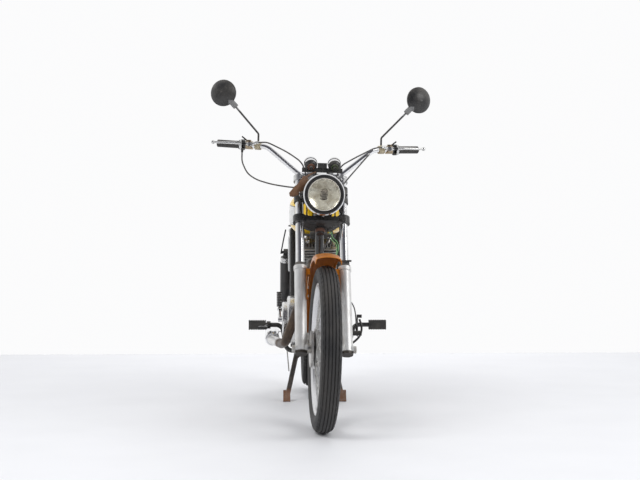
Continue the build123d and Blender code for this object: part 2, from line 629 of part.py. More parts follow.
frame_rear -= both_sides(rack_hole)
frame_main -= frame_rear

# Cradle: lower rails, posts, pivot plates, peg bar and stand lugs
cradle_run = pipe([
    (CRADLE_HALF, DOWNTUBE_FOOT[1], DOWNTUBE_FOOT[2] - 6), (CRADLE_HALF, -150, CRADLE_Z),
    (CRADLE_HALF, 110, CRADLE_Z), (RAIL_HALF, POST_Y, 330), (RAIL_HALF, POST_Y, RAIL_Z)],
    [50, 60, 60], CRADLE_DIAMETER)
PLATE_X = RAIL_HALF + 11.0
pivot_plate = side_slab(side_hull([
    (POST_Y, PIVOT_Z + 48, 12), (POST_Y, PIVOT_Z - 48, 12), (PIVOT_Y, PIVOT_Z, 24)]),
    PLATE_X, PLATE_X + 7)
pivot_bolt = cross_rod(PLATE_X, PLATE_X + 18, PIVOT_Y, PIVOT_Z, 24)
STAND_LUG_X = 98.0
STAND_PIN = 16.0
stand_lug = side_slab(side_hull([
    (POST_Y - 2, 322, 14), (POST_Y - 30, 292, 10), (STAND_Y, STAND_Z, 16)]),
    STAND_LUG_X, STAND_LUG_X + 7)
stand_lug -= cross_rod(STAND_LUG_X - 1, STAND_LUG_X + 8, STAND_Y, STAND_Z, STAND_PIN + 2 * RUN_FIT)
PEG_Y = 174.0
PEG_Z = 356.0
PEG_DIAMETER = 20.0
PEG_DIP_Z = 240.0
PEG_RIGHT_END = -296.0
PEG_LEFT_END = 314.0
peg_bar = pipe([
    (PEG_RIGHT_END, PEG_Y, PEG_Z), (-150, PEG_Y, PEG_Z), (-130, PEG_Y, PEG_DIP_Z),
    (146, PEG_Y, PEG_DIP_Z), (174, PEG_Y, PEG_Z), (PEG_LEFT_END, PEG_Y, PEG_Z)],
    [32, 32, 32, 32], PEG_DIAMETER)
peg_strap = block(CRADLE_HALF - 8, CRADLE_HALF + 8, 80, PEG_Y + 4, PEG_DIP_Z + 3, PEG_DIP_Z + 16)
frame_cradle = both_sides(cradle_run + pivot_plate + pivot_bolt + stand_lug + peg_strap)
frame_cradle += peg_bar
frame_cradle = frame_cradle - frame_main - frame_rear

# Swingarm
ARM_X = 98.0
ARM_DIAMETER = 28.0
swingarm = cross_rod(-RAIL_HALF - 10, RAIL_HALF + 10, PIVOT_Y, PIVOT_Z, 40)
arm_bar = rod((ARM_X, PIVOT_Y, PIVOT_Z), (ARM_X, REAR_AXLE_Y - 20, REAR_AXLE_Z + 2), ARM_DIAMETER)
axle_lug = side_slab(side_hull([
    (REAR_AXLE_Y - 45, REAR_AXLE_Z + 4, 17), (REAR_AXLE_Y + 24, REAR_AXLE_Z, 17)]),
    ARM_X - 6, ARM_X + 6)
shock_eye_pin = cross_rod(ARM_X, SHOCK_X + 22, *SHOCK_FOOT, 14)
swingarm += both_sides(arm_bar + axle_lug + shock_eye_pin)
swingarm -= cross_rod(-130, 130, REAR_AXLE_Y, REAR_AXLE_Z, AXLE_DIAMETER)
frame_cradle -= swingarm
nodes["frame_main"] = frame_main
nodes["frame_rear"] = frame_rear
nodes["frame_cradle"] = frame_cradle

rear_axle = cross_rod(-ARM_X - 22, ARM_X + 22, REAR_AXLE_Y, REAR_AXLE_Z, AXLE_DIAMETER)
rear_axle += Pos(ARM_X + 6, REAR_AXLE_Y, REAR_AXLE_Z) * hex_nut
rear_axle += Pos(-ARM_X - 18, REAR_AXLE_Y, REAR_AXLE_Z) * hex_nut
rear_plate = -REAR_HUB_HALF - BRAKE_GAP
rear_axle += cross_rod(rear_plate, rear_plate - 8, REAR_AXLE_Y, REAR_AXLE_Z, 2 * REAR_DRUM_RADIUS)
rear_axle += cross_rod(rear_plate - 8, -ARM_X + 6, REAR_AXLE_Y, REAR_AXLE_Z, 36)
rear_axle += cross_rod(80, ARM_X - 6, REAR_AXLE_Y, REAR_AXLE_Z, 34)
rear_axle -= swingarm
nodes["rear_axle"] = rear_axle

# Rear shocks: covers over an inner body, an eye at each end
shock_low, shock_high = Vector(SHOCK_X, *SHOCK_FOOT), Vector(SHOCK_X, *SHOCK_TOP)
shock_run = (shock_high - shock_low).normalized()
SHOCK_LENGTH = (shock_high - shock_low).length


def on_shock(distance):
    point = shock_low + shock_run * distance
    return (point.X, point.Y, point.Z)


shock = cross_rod(SHOCK_X - 12, SHOCK_X + 12, *SHOCK_FOOT, 32)
shock += cross_rod(SHOCK_X - 12, SHOCK_X + 12, *SHOCK_TOP, 32)
for low, high, diameter in (
    (12, SHOCK_LENGTH - 12, 30),
    (34, 60, 44),
    (60, SHOCK_LENGTH - 50, 56),
    (SHOCK_LENGTH - 50, SHOCK_LENGTH - 24, 50),
):
    shock += rod(on_shock(low), on_shock(high), diameter)
shock = shock - frame_rear - swingarm
nodes["rear_shocks"] = both_sides(shock)
nodes["swingarm"] = swingarm

# Chain drive on the left
CHAIN_X = 70.0
CHAIN_HALF = 7.0
CHAIN_DEPTH = 7.0
FRONT_SPROCKET = (118.0, 400.0, 40.5)
REAR_SPROCKET = (REAR_AXLE_Y, REAR_AXLE_Z, 101.0)


def chain_hull(extra):
    circles = [(y, z, radius + extra) for y, z, radius in (FRONT_SPROCKET, REAR_SPROCKET)]
    return side_hull(circles)


nodes["drive_chain"] = side_slab(
    chain_hull(CHAIN_DEPTH) - chain_hull(-CHAIN_DEPTH), CHAIN_X - CHAIN_HALF, CHAIN_X + CHAIN_HALF)
SPROCKET_BORE = AXLE_DIAMETER / 2 + 12
sprocket_y, sprocket_z, sprocket_radius = REAR_SPROCKET
sprocket = side_slab(Circle(sprocket_radius - CHAIN_DEPTH) - Circle(SPROCKET_BORE),
    CHAIN_X - 3, CHAIN_X + 3)
for index in range(6):
    angle = radians(index * 60)
    sprocket -= cross_rod(CHAIN_X - 4, CHAIN_X + 4, 68 * cos(angle), 68 * sin(angle), 30)
sprocket += side_slab(Circle(46) - Circle(SPROCKET_BORE), REAR_HUB_HALF, CHAIN_X - 3)
nodes["rear_sprocket"] = Pos(0, sprocket_y, sprocket_z) * sprocket

# Engine: split case, two side covers, finned barrel and head
CRANK = (-55.0, 395.0)
CASE_HALF = 55.0
GEAR_SHAFT = (78.0, 388.0)
crankcase = side_slab(side_hull([(*CRANK, 112), (*GEAR_SHAFT, 84)]), -CASE_HALF, CASE_HALF)
LUG_HALF = CRADLE_HALF + 4.0
crankcase += block(-LUG_HALF, LUG_HALF, -110, -80, CRADLE_Z, 310)
crankcase += block(-LUG_HALF, LUG_HALF, 70, 100, CRADLE_Z, 330)
crankcase += block(-30, 30, -205, -140, 300, 345)
CYLINDER_TILT = 12.0
LEAN = Plane(
    origin=(0, -60, 496),
    x_dir=(1, 0, 0),
    z_dir=(0, -sin(radians(CYLINDER_TILT)), cos(radians(CYLINDER_TILT))),
)
crankcase += LEAN.location * block(-60, 60, -60, 60, -40, 14)
crankcase += cross_rod(CASE_HALF, CHAIN_X + 12, FRONT_SPROCKET[0], FRONT_SPROCKET[1], 26)
crankcase += cross_rod(
    CHAIN_X - 3, CHAIN_X + 3, FRONT_SPROCKET[0], FRONT_SPROCKET[1],
    2 * (FRONT_SPROCKET[2] - CHAIN_DEPTH))
crankcase = crankcase - frame_cradle - frame_main
nodes["crankcase"] = crankcase


def rounded_slab(outline, x_from, x_to, edge):
    """A slab whose outer rim, the one furthest from the middle, is rounded."""
    slab = side_slab(outline, x_from, x_to)
    outer = max(x_from, x_to, key=abs)
    rim = [item for item in slab.edges() if abs(item.center().X - outer) < 0.01]
    return fillet(rim, edge)


right_cover = rounded_slab(side_hull([(*CRANK, 102), (68, 388, 66)]), -CASE_HALF, -130, 12)
right_cover += rounded_slab(Pos(CRANK[0] + 4, CRANK[1]) * Circle(76), -129, -152, 8)
left_cover = rounded_slab(Pos(*CRANK) * Circle(92), CASE_HALF, 118, 12)
left_cover += rounded_slab(Pos(*CRANK) * Circle(66), 117, 136, 8)
sprocket_cover = side_slab(side_hull([(112, 400, 48), (24, 410, 48)]), 82, 96)
sprocket_cover -= side_slab(Pos(*CRANK) * Circle(92), 80, 98)
nodes["engine_covers"] = right_cover + left_cover + sprocket_cover - crankcase - frame_cradle

FIN_PITCH = 12.0
FIN_THICK = 3.0
BARREL_FINS = 9
HEAD_FINS = 8
BARREL_BASE = 14.0
HEAD_BASE = BARREL_BASE + BARREL_FINS * FIN_PITCH + 6


def finned(base, count, width, depth, core_width, core_depth, corner):
    top = base + count * FIN_PITCH + 6
    body = Pos(0, 0, base) * extrude(RectangleRounded(core_width, core_depth, 12), top - base)
    fins = [
        Pos(0, 0, base + 8 + index * FIN_PITCH) * extrude(
            RectangleRounded(width, depth, corner), FIN_THICK)
        for index in range(count)
    ]
    return body.fuse(*fins)


barrel = finned(BARREL_BASE, BARREL_FINS, 146, 150, 104, 104, 22)
head = finned(HEAD_BASE, HEAD_FINS, 160, 164, 108, 112, 24)
HEAD_TOP = HEAD_BASE + HEAD_FINS * FIN_PITCH + 6
head += block(-58, 58, -46, 46, HEAD_TOP, HEAD_TOP + 12)
head += rod((0, -34, HEAD_TOP + 6), (0, -34, HEAD_TOP + 20), 46)
head += rod((0, 34, HEAD_TOP + 6), (0, 34, HEAD_TOP + 20), 46)
nodes["cylinder"] = LEAN.location * barrel
PORT_UP = HEAD_BASE + 36.0
PORT_X = -26.0
head += rod((PORT_X, -40, PORT_UP), (PORT_X, -92, PORT_UP), 52)
head += rod((0, 40, PORT_UP), (0, 92, PORT_UP), 52)
nodes["cylinder_head"] = LEAN.location * head


def lean_point(x, back, up):
    point = LEAN.from_local_coords(Vector(x, back, up))
    return (point.X, point.Y, point.Z)


# Exhaust: header from the front port down the right side, then a long silencer
HEADER_DIAMETER = 40.0
port_face = lean_point(PORT_X, -92, PORT_UP)
port_ahead = lean_point(PORT_X - 4, -150, PORT_UP)
SILENCER_X = -195.0
SILENCER_Z = 300.0
SILENCER_START = 72.0
SILENCER_END = REAR_AXLE_Y + 170.0
SILENCER_COLLAR = 16.0
header = pipe([
    port_face, port_ahead, (-96, -232, 430), (-138, -196, 310), (-154, -84, 292),
    (SILENCER_X, SILENCER_START - 44, SILENCER_Z), (SILENCER_X, SILENCER_START, SILENCER_Z)],
    [40, 60, 50, 60, 60], HEADER_DIAMETER)
nodes["header_pipe"] = header - nodes["cylinder_head"]
silencer_face = make_face(Polyline(
    (20, SILENCER_START - SILENCER_COLLAR), (25, SILENCER_START - SILENCER_COLLAR), (25, SILENCER_START),
    (29, SILENCER_START + 3), (33, SILENCER_START + 60), (33, SILENCER_END - 60), (20, SILENCER_END),
    (14, SILENCER_END), (14, SILENCER_END - 60), (0, SILENCER_END - 60),
    (0, SILENCER_START), (20, SILENCER_START), close=True))
silencer = Pos(SILENCER_X, 0, SILENCER_Z) * revolve(silencer_face, Axis.Y)
HANGER_Y = 420.0
hanger = side_slab(side_hull([
    (HANGER_Y, SILENCER_Z + 14, 14), (PIVOT_Y + 60, PIVOT_Z - 10, 12)]), -134, -128)
hanger += block(-166, -128, HANGER_Y - 12, HANGER_Y + 12, SILENCER_Z + 6, SILENCER_Z + 12)
silencer += hanger
nodes["silencer"] = silencer

# Carburettor and air box
carb_start = lean_point(0, 92, PORT_UP)
carb_end = lean_point(0, 92 + 74, PORT_UP)
carb = rod(carb_start, carb_end, 46)
carb_middle = lean_point(0, 92 + 34, PORT_UP)
bowl = rod(
    (0, carb_middle[1], carb_middle[2] - 20), (0, carb_middle[1], carb_middle[2] - 74), 54)
slide = rod(
    (0, carb_middle[1], carb_middle[2] + 16), (0, carb_middle[1], carb_middle[2] + 58), 40)
nodes["carburettor"] = carb + bowl + slide
BOX_FRONT = 208.0
BOX_TOP = RAIL_Z - 40.0
air_box = block(-66, 66, BOX_FRONT, 330, RAIL_Z - 185, BOX_TOP)
air_box += pipe([
    carb_end, lean_point(0, 92 + 110, PORT_UP), (0, BOX_FRONT + 4, carb_end[2] + 26)], [30], 52)
air_box += block(-25, 25, POST_Y - 4, BOX_FRONT + 12, BOX_TOP - 10, RAIL_Z)
nodes["air_box"] = air_box - frame_cradle - frame_rear - frame_main

# Tank: sections from front to back, hollowed below for the backbone
TANK_FRONT_Y = backbone_front[1] + 64
TANK_LENGTH = POST_Y - 27 - TANK_FRONT_Y
slope = backbone_run.Z / backbone_run.Y


def backbone_height(y):
    return backbone_front[2] + slope * (y - backbone_front[1])


TANK_SECTIONS = (
    # share of the length, rise above the backbone, width, height, corner
    (0, -4.7, 96, 80, 34),
    (0.1714, 6, 196, 146, 56),
    (0.4333, 21.5, 242, 176, 66),
    (0.7667, 52, 214, 148, 58),
    (1, 76.7, 140, 96, 38),
)
tank_faces = []
for share, rise, width, height, corner in TANK_SECTIONS:
    section_y = TANK_FRONT_Y + share * TANK_LENGTH
    outline = Pos(0, backbone_height(section_y) + rise) * RectangleRounded(width, height, corner)
    tank_faces.append(Plane.XZ.offset(-section_y) * outline)
tank = loft(tank_faces)
tunnel = rod(
    tuple(backbone_low - backbone_run * 0.2), tuple(backbone_low + backbone_run * 1.3), TUNNEL_WIDTH)
tunnel_ends = [(y, backbone_height(y)) for y in (-400, 300)]
tunnel += side_slab(make_face(Polyline(
    tunnel_ends[0], tunnel_ends[1], (300, 600), (-400, 600), close=True)),
    -TUNNEL_WIDTH / 2, TUNNEL_WIDTH / 2)
CAP_RADIUS = 30.0
cap_y = TANK_FRONT_Y + 0.36 * TANK_LENGTH
cap_z = backbone_height(cap_y) + 17 + 84
filler = rod((0, cap_y, cap_z - 10), (0, cap_y, cap_z + 12), 2 * CAP_RADIUS - 8)
filler += rod((0, cap_y, cap_z + 6), (0, cap_y, cap_z + 18), 2 * CAP_RADIUS)
nodes["tank"] = tank - tunnel + filler

# Seat, side panels and rear mudguard
SEAT_LOW = RAIL_Z + RAIL_DIAMETER / 2
SEAT_SECTIONS = (
    # y, width, height, corner
    (POST_Y - 13, 170, 52, 20),
    (POST_Y + 115, 226, 72, 26),
    (RAIL_END_Y - 150, 232, 84, 28),
    (RAIL_END_Y - 48, 200, 68, 26),
)
seat_faces = [
    Plane.XZ.offset(-y) * (Pos(0, SEAT_LOW + height / 2) * RectangleRounded(width, height, corner))
    for y, width, height, corner in SEAT_SECTIONS
]
nodes["seat"] = loft(seat_faces)

PANEL_X = RAIL_HALF + 10.0
panel_outline = side_hull([
    (246, RAIL_Z - 165, 26), (246, RAIL_Z - 55, 26), (410, RAIL_Z - 50, 22), (330, RAIL_Z - 167, 22)])
side_panel = rounded_slab(panel_outline, PANEL_X, PANEL_X + 9, 5)
panel_pad = block(64, PANEL_X + 2, 250, 280, RAIL_Z - 95, RAIL_Z - 70)
nodes["side_panels"] = both_sides(side_panel + panel_pad) - frame_rear - nodes["air_box"]

REAR_GUARD_HALF = 70.0
rear_guard = guard(REAR_GUARD_RADIUS, REAR_GUARD_HALF, 32, GUARD_SKIN, 40, 150, REAR_AXLE_Y, REAR_AXLE_Z)
tie_z = REAR_AXLE_Z + REAR_GUARD_RADIUS
guard_pillar = block(-20, 20, GUARD_TIE_Y - 9, GUARD_TIE_Y + 9, tie_z - 8, RAIL_Z)
rear_guard += guard_pillar
rear_guard = rear_guard - frame_rear - nodes["air_box"] - nodes["seat"]
nodes["rear_fender"] = rear_guard

# Tail lamp and blank plate
TAIL_ANGLE = 52.0
tail_y = REAR_AXLE_Y + REAR_GUARD_RADIUS * cos(radians(TAIL_ANGLE))
tail_z = REAR_AXLE_Z + REAR_GUARD_RADIUS * sin(radians(TAIL_ANGLE))
lamp_face = make_face(Polyline(
    (0, -10), (34, -10), (40, 34), (40, 52), (30, 66), (0, 66), close=True))
tail_lamp = Pos(0, tail_y, tail_z + 10) * revolve(lamp_face, Axis.Y)
lamp_pieces = (tail_lamp - nodes["rear_fender"]).solids()
nodes["tail_lamp"] = max(lamp_pieces, key=lambda piece: piece.volume)
PLATE_TOP_Z = REAR_AXLE_Z + 264.0
PLATE_HEIGHT = 140.0
arm_rise = PLATE_TOP_Z - 13 - REAR_AXLE_Z
guard_back = REAR_AXLE_Y + sqrt(REAR_GUARD_RADIUS ** 2 - arm_rise ** 2)
PLATE_Y = guard_back + 12.0
plate = block(-90, 90, PLATE_Y, PLATE_Y + 2, PLATE_TOP_Z - PLATE_HEIGHT, PLATE_TOP_Z)
plate_arm = block(-24, 24, PLATE_Y - 50, PLATE_Y, PLATE_TOP_Z - 22, PLATE_TOP_Z - 4)
PLATE_HOLE = 6.4
PLATE_HOLE_X = 60.0
PLATE_HOLE_Z = PLATE_TOP_Z - 18.0
number_plate = plate + plate_arm
for x in (-PLATE_HOLE_X, PLATE_HOLE_X):
    number_plate -= rod((x, PLATE_Y - 5, PLATE_HOLE_Z), (x, PLATE_Y + 5, PLATE_HOLE_Z), PLATE_HOLE)
nodes["number_plate"] = number_plate - nodes["rear_fender"] - nodes["tail_lamp"]

# Foot controls and peg rubbers
RUBBER_LENGTH = 73.0
RUBBER_RIBS = 7
RUBBER_HALF = 21.0
RIB_CUT = 3.0


def peg_rubber(outer_end):
    """A square rubber with cross ribs, closed at its outer end."""
    way = 1 if outer_end > 0 else -1
    inner_end = outer_end - way * RUBBER_LENGTH
    rubber = block(
        inner_end, outer_end + way * 4, PEG_Y - 20, PEG_Y + 20, PEG_Z - RUBBER_HALF, PEG_Z + RUBBER_HALF)
    pitch = RUBBER_LENGTH / RUBBER_RIBS
    for index in range(RUBBER_RIBS):
        x = inner_end + way * pitch * (index + 0.6)
        for z in (PEG_Z - RUBBER_HALF, PEG_Z + RUBBER_HALF):
            rubber -= block(x - RIB_CUT / 2, x + RIB_CUT / 2, PEG_Y - 21, PEG_Y + 21, z - RIB_CUT, z + RIB_CUT)
    return rubber - cross_rod(inner_end - way, outer_end, PEG_Y, PEG_Z, PEG_DIAMETER)


nodes["footpeg_rubbers"] = peg_rubber(PEG_RIGHT_END) + peg_rubber(PEG_LEFT_END)

KICK = (100.0, 384.0)
kick = cross_rod(-130, -168, *KICK, 20)
kick += rod((-162, *KICK), (-162, 208, 424), 15)
kick += Pos(-162, 208, 424) * Sphere(11)
kick += rod((-162, 208, 424), (-162, 214, 502), 12)
kick += rod((-162, 210.3, 440), (-162, 214, 500), 23)
nodes["kick_starter"] = kick - nodes["engine_covers"]

GEAR = (60.0, 322.0)
gear_lever = cross_rod(CASE_HALF, 157, *GEAR, 16)
gear_lever += rod((146, *GEAR), (146, -74, 336), 12)
gear_lever += cross_rod(135, 190, -74, 336, 20)
BRAKE_RING_X = -211.0
BRAKE_TIP = (-236.0, 20.0, 352.0)
brake_pedal = cross_rod(BRAKE_RING_X - 9, BRAKE_RING_X + 9, PEG_Y, PEG_Z, 34)
brake_pedal += rod((BRAKE_RING_X, PEG_Y, PEG_Z), BRAKE_TIP, 13)
brake_pedal += block(
    BRAKE_TIP[0] - 19, BRAKE_TIP[0] + 19, BRAKE_TIP[1] - 22, BRAKE_TIP[1] + 22,
    BRAKE_TIP[2] - 4, BRAKE_TIP[2] + 8)
brake_pedal -= cross_rod(BRAKE_RING_X - 20, BRAKE_RING_X + 20, PEG_Y, PEG_Z, PEG_DIAMETER)
gear_lever = gear_lever - nodes["engine_covers"] - crankcase
nodes["foot_levers"] = gear_lever + brake_pedal

SHIELD_START = 250.0
SHIELD_END = REAR_AXLE_Y - 20
shield_middle = (PIVOT_Y + REAR_AXLE_Y) / 2 - 10
arm_middle_z = (PIVOT_Z + REAR_AXLE_Z) / 2
guard_outline = side_hull([(SHIELD_START, 470, 16), (SHIELD_END, 474, 16)])
chain_guard = side_slab(guard_outline, CHAIN_X + 9, CHAIN_X + 12)
chain_guard += block(CHAIN_X - 6, CHAIN_X + 12, SHIELD_START, SHIELD_END - 40, 484, 487)
for x_to, low, high in ((CHAIN_X + 12, arm_middle_z + 6, 470), (ARM_X + 4, arm_middle_z, arm_middle_z + 20)):
    chain_guard += block(CHAIN_X + 9, x_to, shield_middle - 15, shield_middle + 15, low, high)
nodes["chain_guard"] = chain_guard - swingarm - frame_cradle - frame_rear

# Centre stand: a cross tube on two pins, splayed legs and flat feet
LEG_TOP_X = 74.0
FOOT_X = 128.0
FOOT_Y = 274.0
leg = rod((LEG_TOP_X, STAND_Y, STAND_Z), (FOOT_X, FOOT_Y, 9), 22)
foot = side_slab(side_hull([
    (FOOT_Y - 27, 4, 4), (FOOT_Y + 27, 4, 4), (FOOT_Y + 6, 38, 12)]), FOOT_X - 16, FOOT_X + 16)
GUSSET_LOW = (84.0, 195.0)
GUSSET_HIGH = (20.0, 250.0)
gusset = rod((GUSSET_LOW[0], STAND_Y - 3, GUSSET_LOW[1]), (GUSSET_HIGH[0], STAND_Y, GUSSET_HIGH[1]), 12)
stand = both_sides(leg + foot + gusset)
stand += cross_rod(-92, 92, STAND_Y, STAND_Z, 26)
stand += cross_rod(-STAND_LUG_X - 12, STAND_LUG_X + 12, STAND_Y, STAND_Z, STAND_PIN)
stand -= block(-200, 200, 200, 400, -40, 0)
nodes["centre_stand"] = stand

STEERED = (
    "front_tyre", "front_wheel", "front_axle", "fork_sliders", "fork_stanchions", "lower_yoke",
    "upper_yoke", "handlebar", "grips", "control_levers", "mirrors", "headlight_shell",
    "headlight_rim", "headlight_lens", "instruments", "front_fender", "control_cables",
)

# The origin lies under the middle of the whole machine, mirrors included
MIDDLE_X = 8.8
MIDDLE_Y = -9.0

whole = []
for name, part in nodes.items():
    placed = Pos(-MIDDLE_X, -MIDDLE_Y, 0) * (steered(part) if name in STEERED else part)
    export_step(placed, f"parts/{name}.step")
    whole.append(placed)
    print(name, len(placed.solids()), round(placed.volume / 1000, 1), "cm3")
box = Compound(children=[item for part in whole for item in part.solids()]).bounding_box()
print("box", box)
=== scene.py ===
# %% [markdown]
# # A light scrambler on its centre stand
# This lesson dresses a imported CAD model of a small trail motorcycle. The solids give every
# size and joint; each cell below adds one group of surfaces or details on top of them.

# %% Imports, the frame and its box
import bpy
import bmesh
from math import sin, cos, pi, radians, acos, atan2, sqrt
from mathutils import Matrix, Vector


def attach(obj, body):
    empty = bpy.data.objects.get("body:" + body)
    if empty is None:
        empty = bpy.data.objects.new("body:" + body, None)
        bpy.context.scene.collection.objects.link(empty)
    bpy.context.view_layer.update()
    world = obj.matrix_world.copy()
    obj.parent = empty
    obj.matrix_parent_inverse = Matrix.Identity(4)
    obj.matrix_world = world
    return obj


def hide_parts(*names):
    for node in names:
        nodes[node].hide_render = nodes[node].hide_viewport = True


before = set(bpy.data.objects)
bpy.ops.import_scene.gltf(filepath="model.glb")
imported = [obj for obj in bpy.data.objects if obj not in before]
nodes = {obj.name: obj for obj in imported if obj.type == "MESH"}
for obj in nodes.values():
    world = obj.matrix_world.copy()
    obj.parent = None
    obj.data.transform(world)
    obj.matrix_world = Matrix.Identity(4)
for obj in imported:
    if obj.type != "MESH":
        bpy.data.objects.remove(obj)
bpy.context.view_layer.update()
scene = bpy.context.scene

# %% [markdown]
# ## Where things are
# The CAD is drawn about the machine's own middle plane and then shifted so that the origin
# lies under its box. The fork is drawn straight and turned a few degrees about the steering
# axis. Three matrices repeat that, so pieces can be drawn in the plain layout too.

# %% Layout matrices
MIDDLE = Vector((0.0088, -0.009, 0.0))
RAKE = radians(28.0)
REST_STEER = radians(3.3)
FRONT_AXLE = Vector((0.0, -0.690, 0.320))
REAR_AXLE = Vector((0.0, 0.660, 0.346))
FORK_UP = Vector((0.0, sin(RAKE), cos(RAKE)))
FORK_BACK = Vector((0.0, cos(RAKE), -sin(RAKE)))
STEER_FOOT = FRONT_AXLE + FORK_BACK * 0.055

BIKE = Matrix.Translation(-MIDDLE)
STEER = (BIKE @ Matrix.Translation(STEER_FOOT) @ Matrix.Rotation(REST_STEER, 4, FORK_UP)
         @ Matrix.Translation(-STEER_FOOT))
FORK = STEER @ Matrix.Translation(FRONT_AXLE) @ Matrix.Rotation(-RAKE, 4, "X")
FRONT_HUB = STEER @ Matrix.Translation(FRONT_AXLE)
REAR_HUB = BIKE @ Matrix.Translation(REAR_AXLE)
LEAN = BIKE @ Matrix.Translation((0.0, -0.060, 0.496)) @ Matrix.Rotation(radians(12.0), 4, "X")
print("front axle at", [round(v, 4) for v in FRONT_HUB.translation])

# %% [markdown]
# ## Camera and light
# The camera stands level in front of the machine, slightly to its right, with the long lens
# that the photograph's perspective asks for. Soft lamps light the object plainly. The white
# surroundings come from the world as the camera and mirrors see it, not from extra light.

# %% Camera, lamps, world and floor
FLOOR_REACH = 6.0
FLOOR_BACK = 2.7  # the floor ends where the photograph's wall begins


def add_object(name, data):
    item = bpy.data.objects.new(name, data)
    scene.collection.objects.link(item)
    return item


def add_camera():
    data = bpy.data.cameras.new("view")
    data.sensor_width = 36.0
    data.lens = 71.16
    data.clip_end = 60.0
    camera = add_object("view", data)
    camera.location = (-0.209, -5.517, 0.738)
    camera.rotation_euler = (radians(90.0), 0.0, radians(-2.22))
    scene.camera = camera


def add_lamp(name, place, target, size, watts, in_mirrors=False):
    """A soft rectangular lamp; polished metal shows it only when in_mirrors is set."""
    data = bpy.data.lights.new(name, "AREA")
    data.shape = "RECTANGLE"
    data.size, data.size_y = size
    data.energy = watts
    lamp = add_object(name, data)
    lamp.location = place
    lamp.rotation_euler = (Vector(target) - Vector(place)).to_track_quat("-Z", "Y").to_euler()
    lamp.visible_glossy = in_mirrors


def add_node(tree, kind, **values):
    """A node with its inputs set by name; a space in a name is written as an underscore."""
    node = tree.nodes.new(kind)
    for label, value in values.items():
        node.inputs[label.replace("_", " ")].default_value = value
    return node


def connect(tree, *rows):
    """Join nodes. Each row is a node, its output, the next node and its input."""
    for source, outlet, target, inlet in rows:
        tree.links.new(source.outputs[outlet], target.inputs[inlet])


def tone_ramp(tree, low, high, places=(0.0, 1.0)):
    """A ramp between two tones."""
    ramp = tree.nodes.new("ShaderNodeValToRGB")
    for stop, place, tone in zip(ramp.color_ramp.elements, places, (low, high)):
        stop.position = place
        stop.color = (*tone, 1.0)
    return ramp


def new_material(name):
    material = bpy.data.materials.new(name)
    material.use_nodes = True
    tree = material.node_tree
    return material, tree, tree.nodes["Principled BSDF"]


def studio_world():
    """White as the camera sees it; polished metal also sees a darker room in front."""
    world = bpy.data.worlds.new("studio")
    world.use_nodes = True
    tree = world.node_tree
    tree.nodes.clear()
    out = add_node(tree, "ShaderNodeOutputWorld")
    path = add_node(tree, "ShaderNodeLightPath")
    fill = add_node(tree, "ShaderNodeBackground", Color=(0.93, 0.95, 1.0, 1.0), Strength=0.60)
    seen = add_node(tree, "ShaderNodeBackground", Color=(0.97, 0.97, 0.975, 1.0))
    room = add_node(tree, "ShaderNodeBackground")
    coord = add_node(tree, "ShaderNodeTexCoord")
    parts = add_node(tree, "ShaderNodeSeparateXYZ")
    shade = tone_ramp(tree, (0.10, 0.10, 0.12), (0.95, 0.95, 0.96), (0.24, 0.58))
    spread = add_node(tree, "ShaderNodeMapRange", From_Min=-1.0)
    connect(tree, (coord, "Generated", parts, 0), (parts, "Y", spread, "Value"),
            (spread, "Result", shade, "Fac"), (shade, "Color", room, "Color"))
    last = fill
    for ray, source in (("Is Glossy Ray", room), ("Is Transmission Ray", seen),
                        ("Is Camera Ray", seen)):
        mix = add_node(tree, "ShaderNodeMixShader")
        connect(tree, (path, ray, mix, 0), (last, 0, mix, 1), (source, 0, mix, 2))
        last = mix
    connect(tree, (last, 0, out, "Surface"))
    scene.world = world


def add_floor():
    """A plain pale floor with a faint mottle."""
    mesh = bpy.data.meshes.new("floor")
    mesh.from_pydata([(-FLOOR_REACH, -FLOOR_REACH, 0), (FLOOR_REACH, -FLOOR_REACH, 0),
                      (FLOOR_REACH, FLOOR_BACK, 0), (-FLOOR_REACH, FLOOR_BACK, 0)],
                     [], [(0, 1, 2, 3)])
    floor = add_object("floor", mesh)
    material, tree, bsdf = new_material("floor_paint")
    coord = add_node(tree, "ShaderNodeTexCoord")
    mottle = add_node(tree, "ShaderNodeTexNoise", Scale=3.0, Detail=6.0)
    ramp = tone_ramp(tree, (0.76, 0.76, 0.77), (0.82, 0.82, 0.83))
    connect(tree, (coord, "Object", mottle, "Vector"), (mottle, "Fac", ramp, "Fac"),
            (ramp, "Color", bsdf, "Base Color"))
    bsdf.inputs["Roughness"].default_value = 0.55
    mesh.materials.append(material)


add_camera()
studio_world()
add_floor()
add_lamp("key", (-3.2, -3.6, 4.2), (0, 0, 0.6), (3.0, 2.4), 150)
add_lamp("fill", (3.6, -2.8, 3.2), (0, 0, 0.6), (3.0, 2.4), 95, in_mirrors=True)
add_lamp("back", (0.4, 4.2, 3.6), (0, 0, 0.8), (3.4, 1.8), 110)
scene.view_settings.view_transform = "Standard"
print("camera, world, floor and three lamps")

# %% [markdown]
# ## Shared shader effects
# Three node groups serve every material. `grain` gives fine roughness variation and a bump
# height. `patches` gives slow cloudy variation. `settled_dust` gives more dust on upward faces
# and less on flanks. Each group puts out values only; the shader itself stays in the material.

# %% Node groups
def new_group(name, inputs, outputs):
    group = bpy.data.node_groups.new(name, "ShaderNodeTree")
    for label, kind, value in inputs:
        socket = group.interface.new_socket(label, in_out="INPUT", socket_type=kind)
        if value is not None:
            socket.default_value = value
    for label, kind in outputs:
        group.interface.new_socket(label, in_out="OUTPUT", socket_type=kind)
    enter = group.nodes.new("NodeGroupInput")
    leave = group.nodes.new("NodeGroupOutput")
    return group, enter, leave


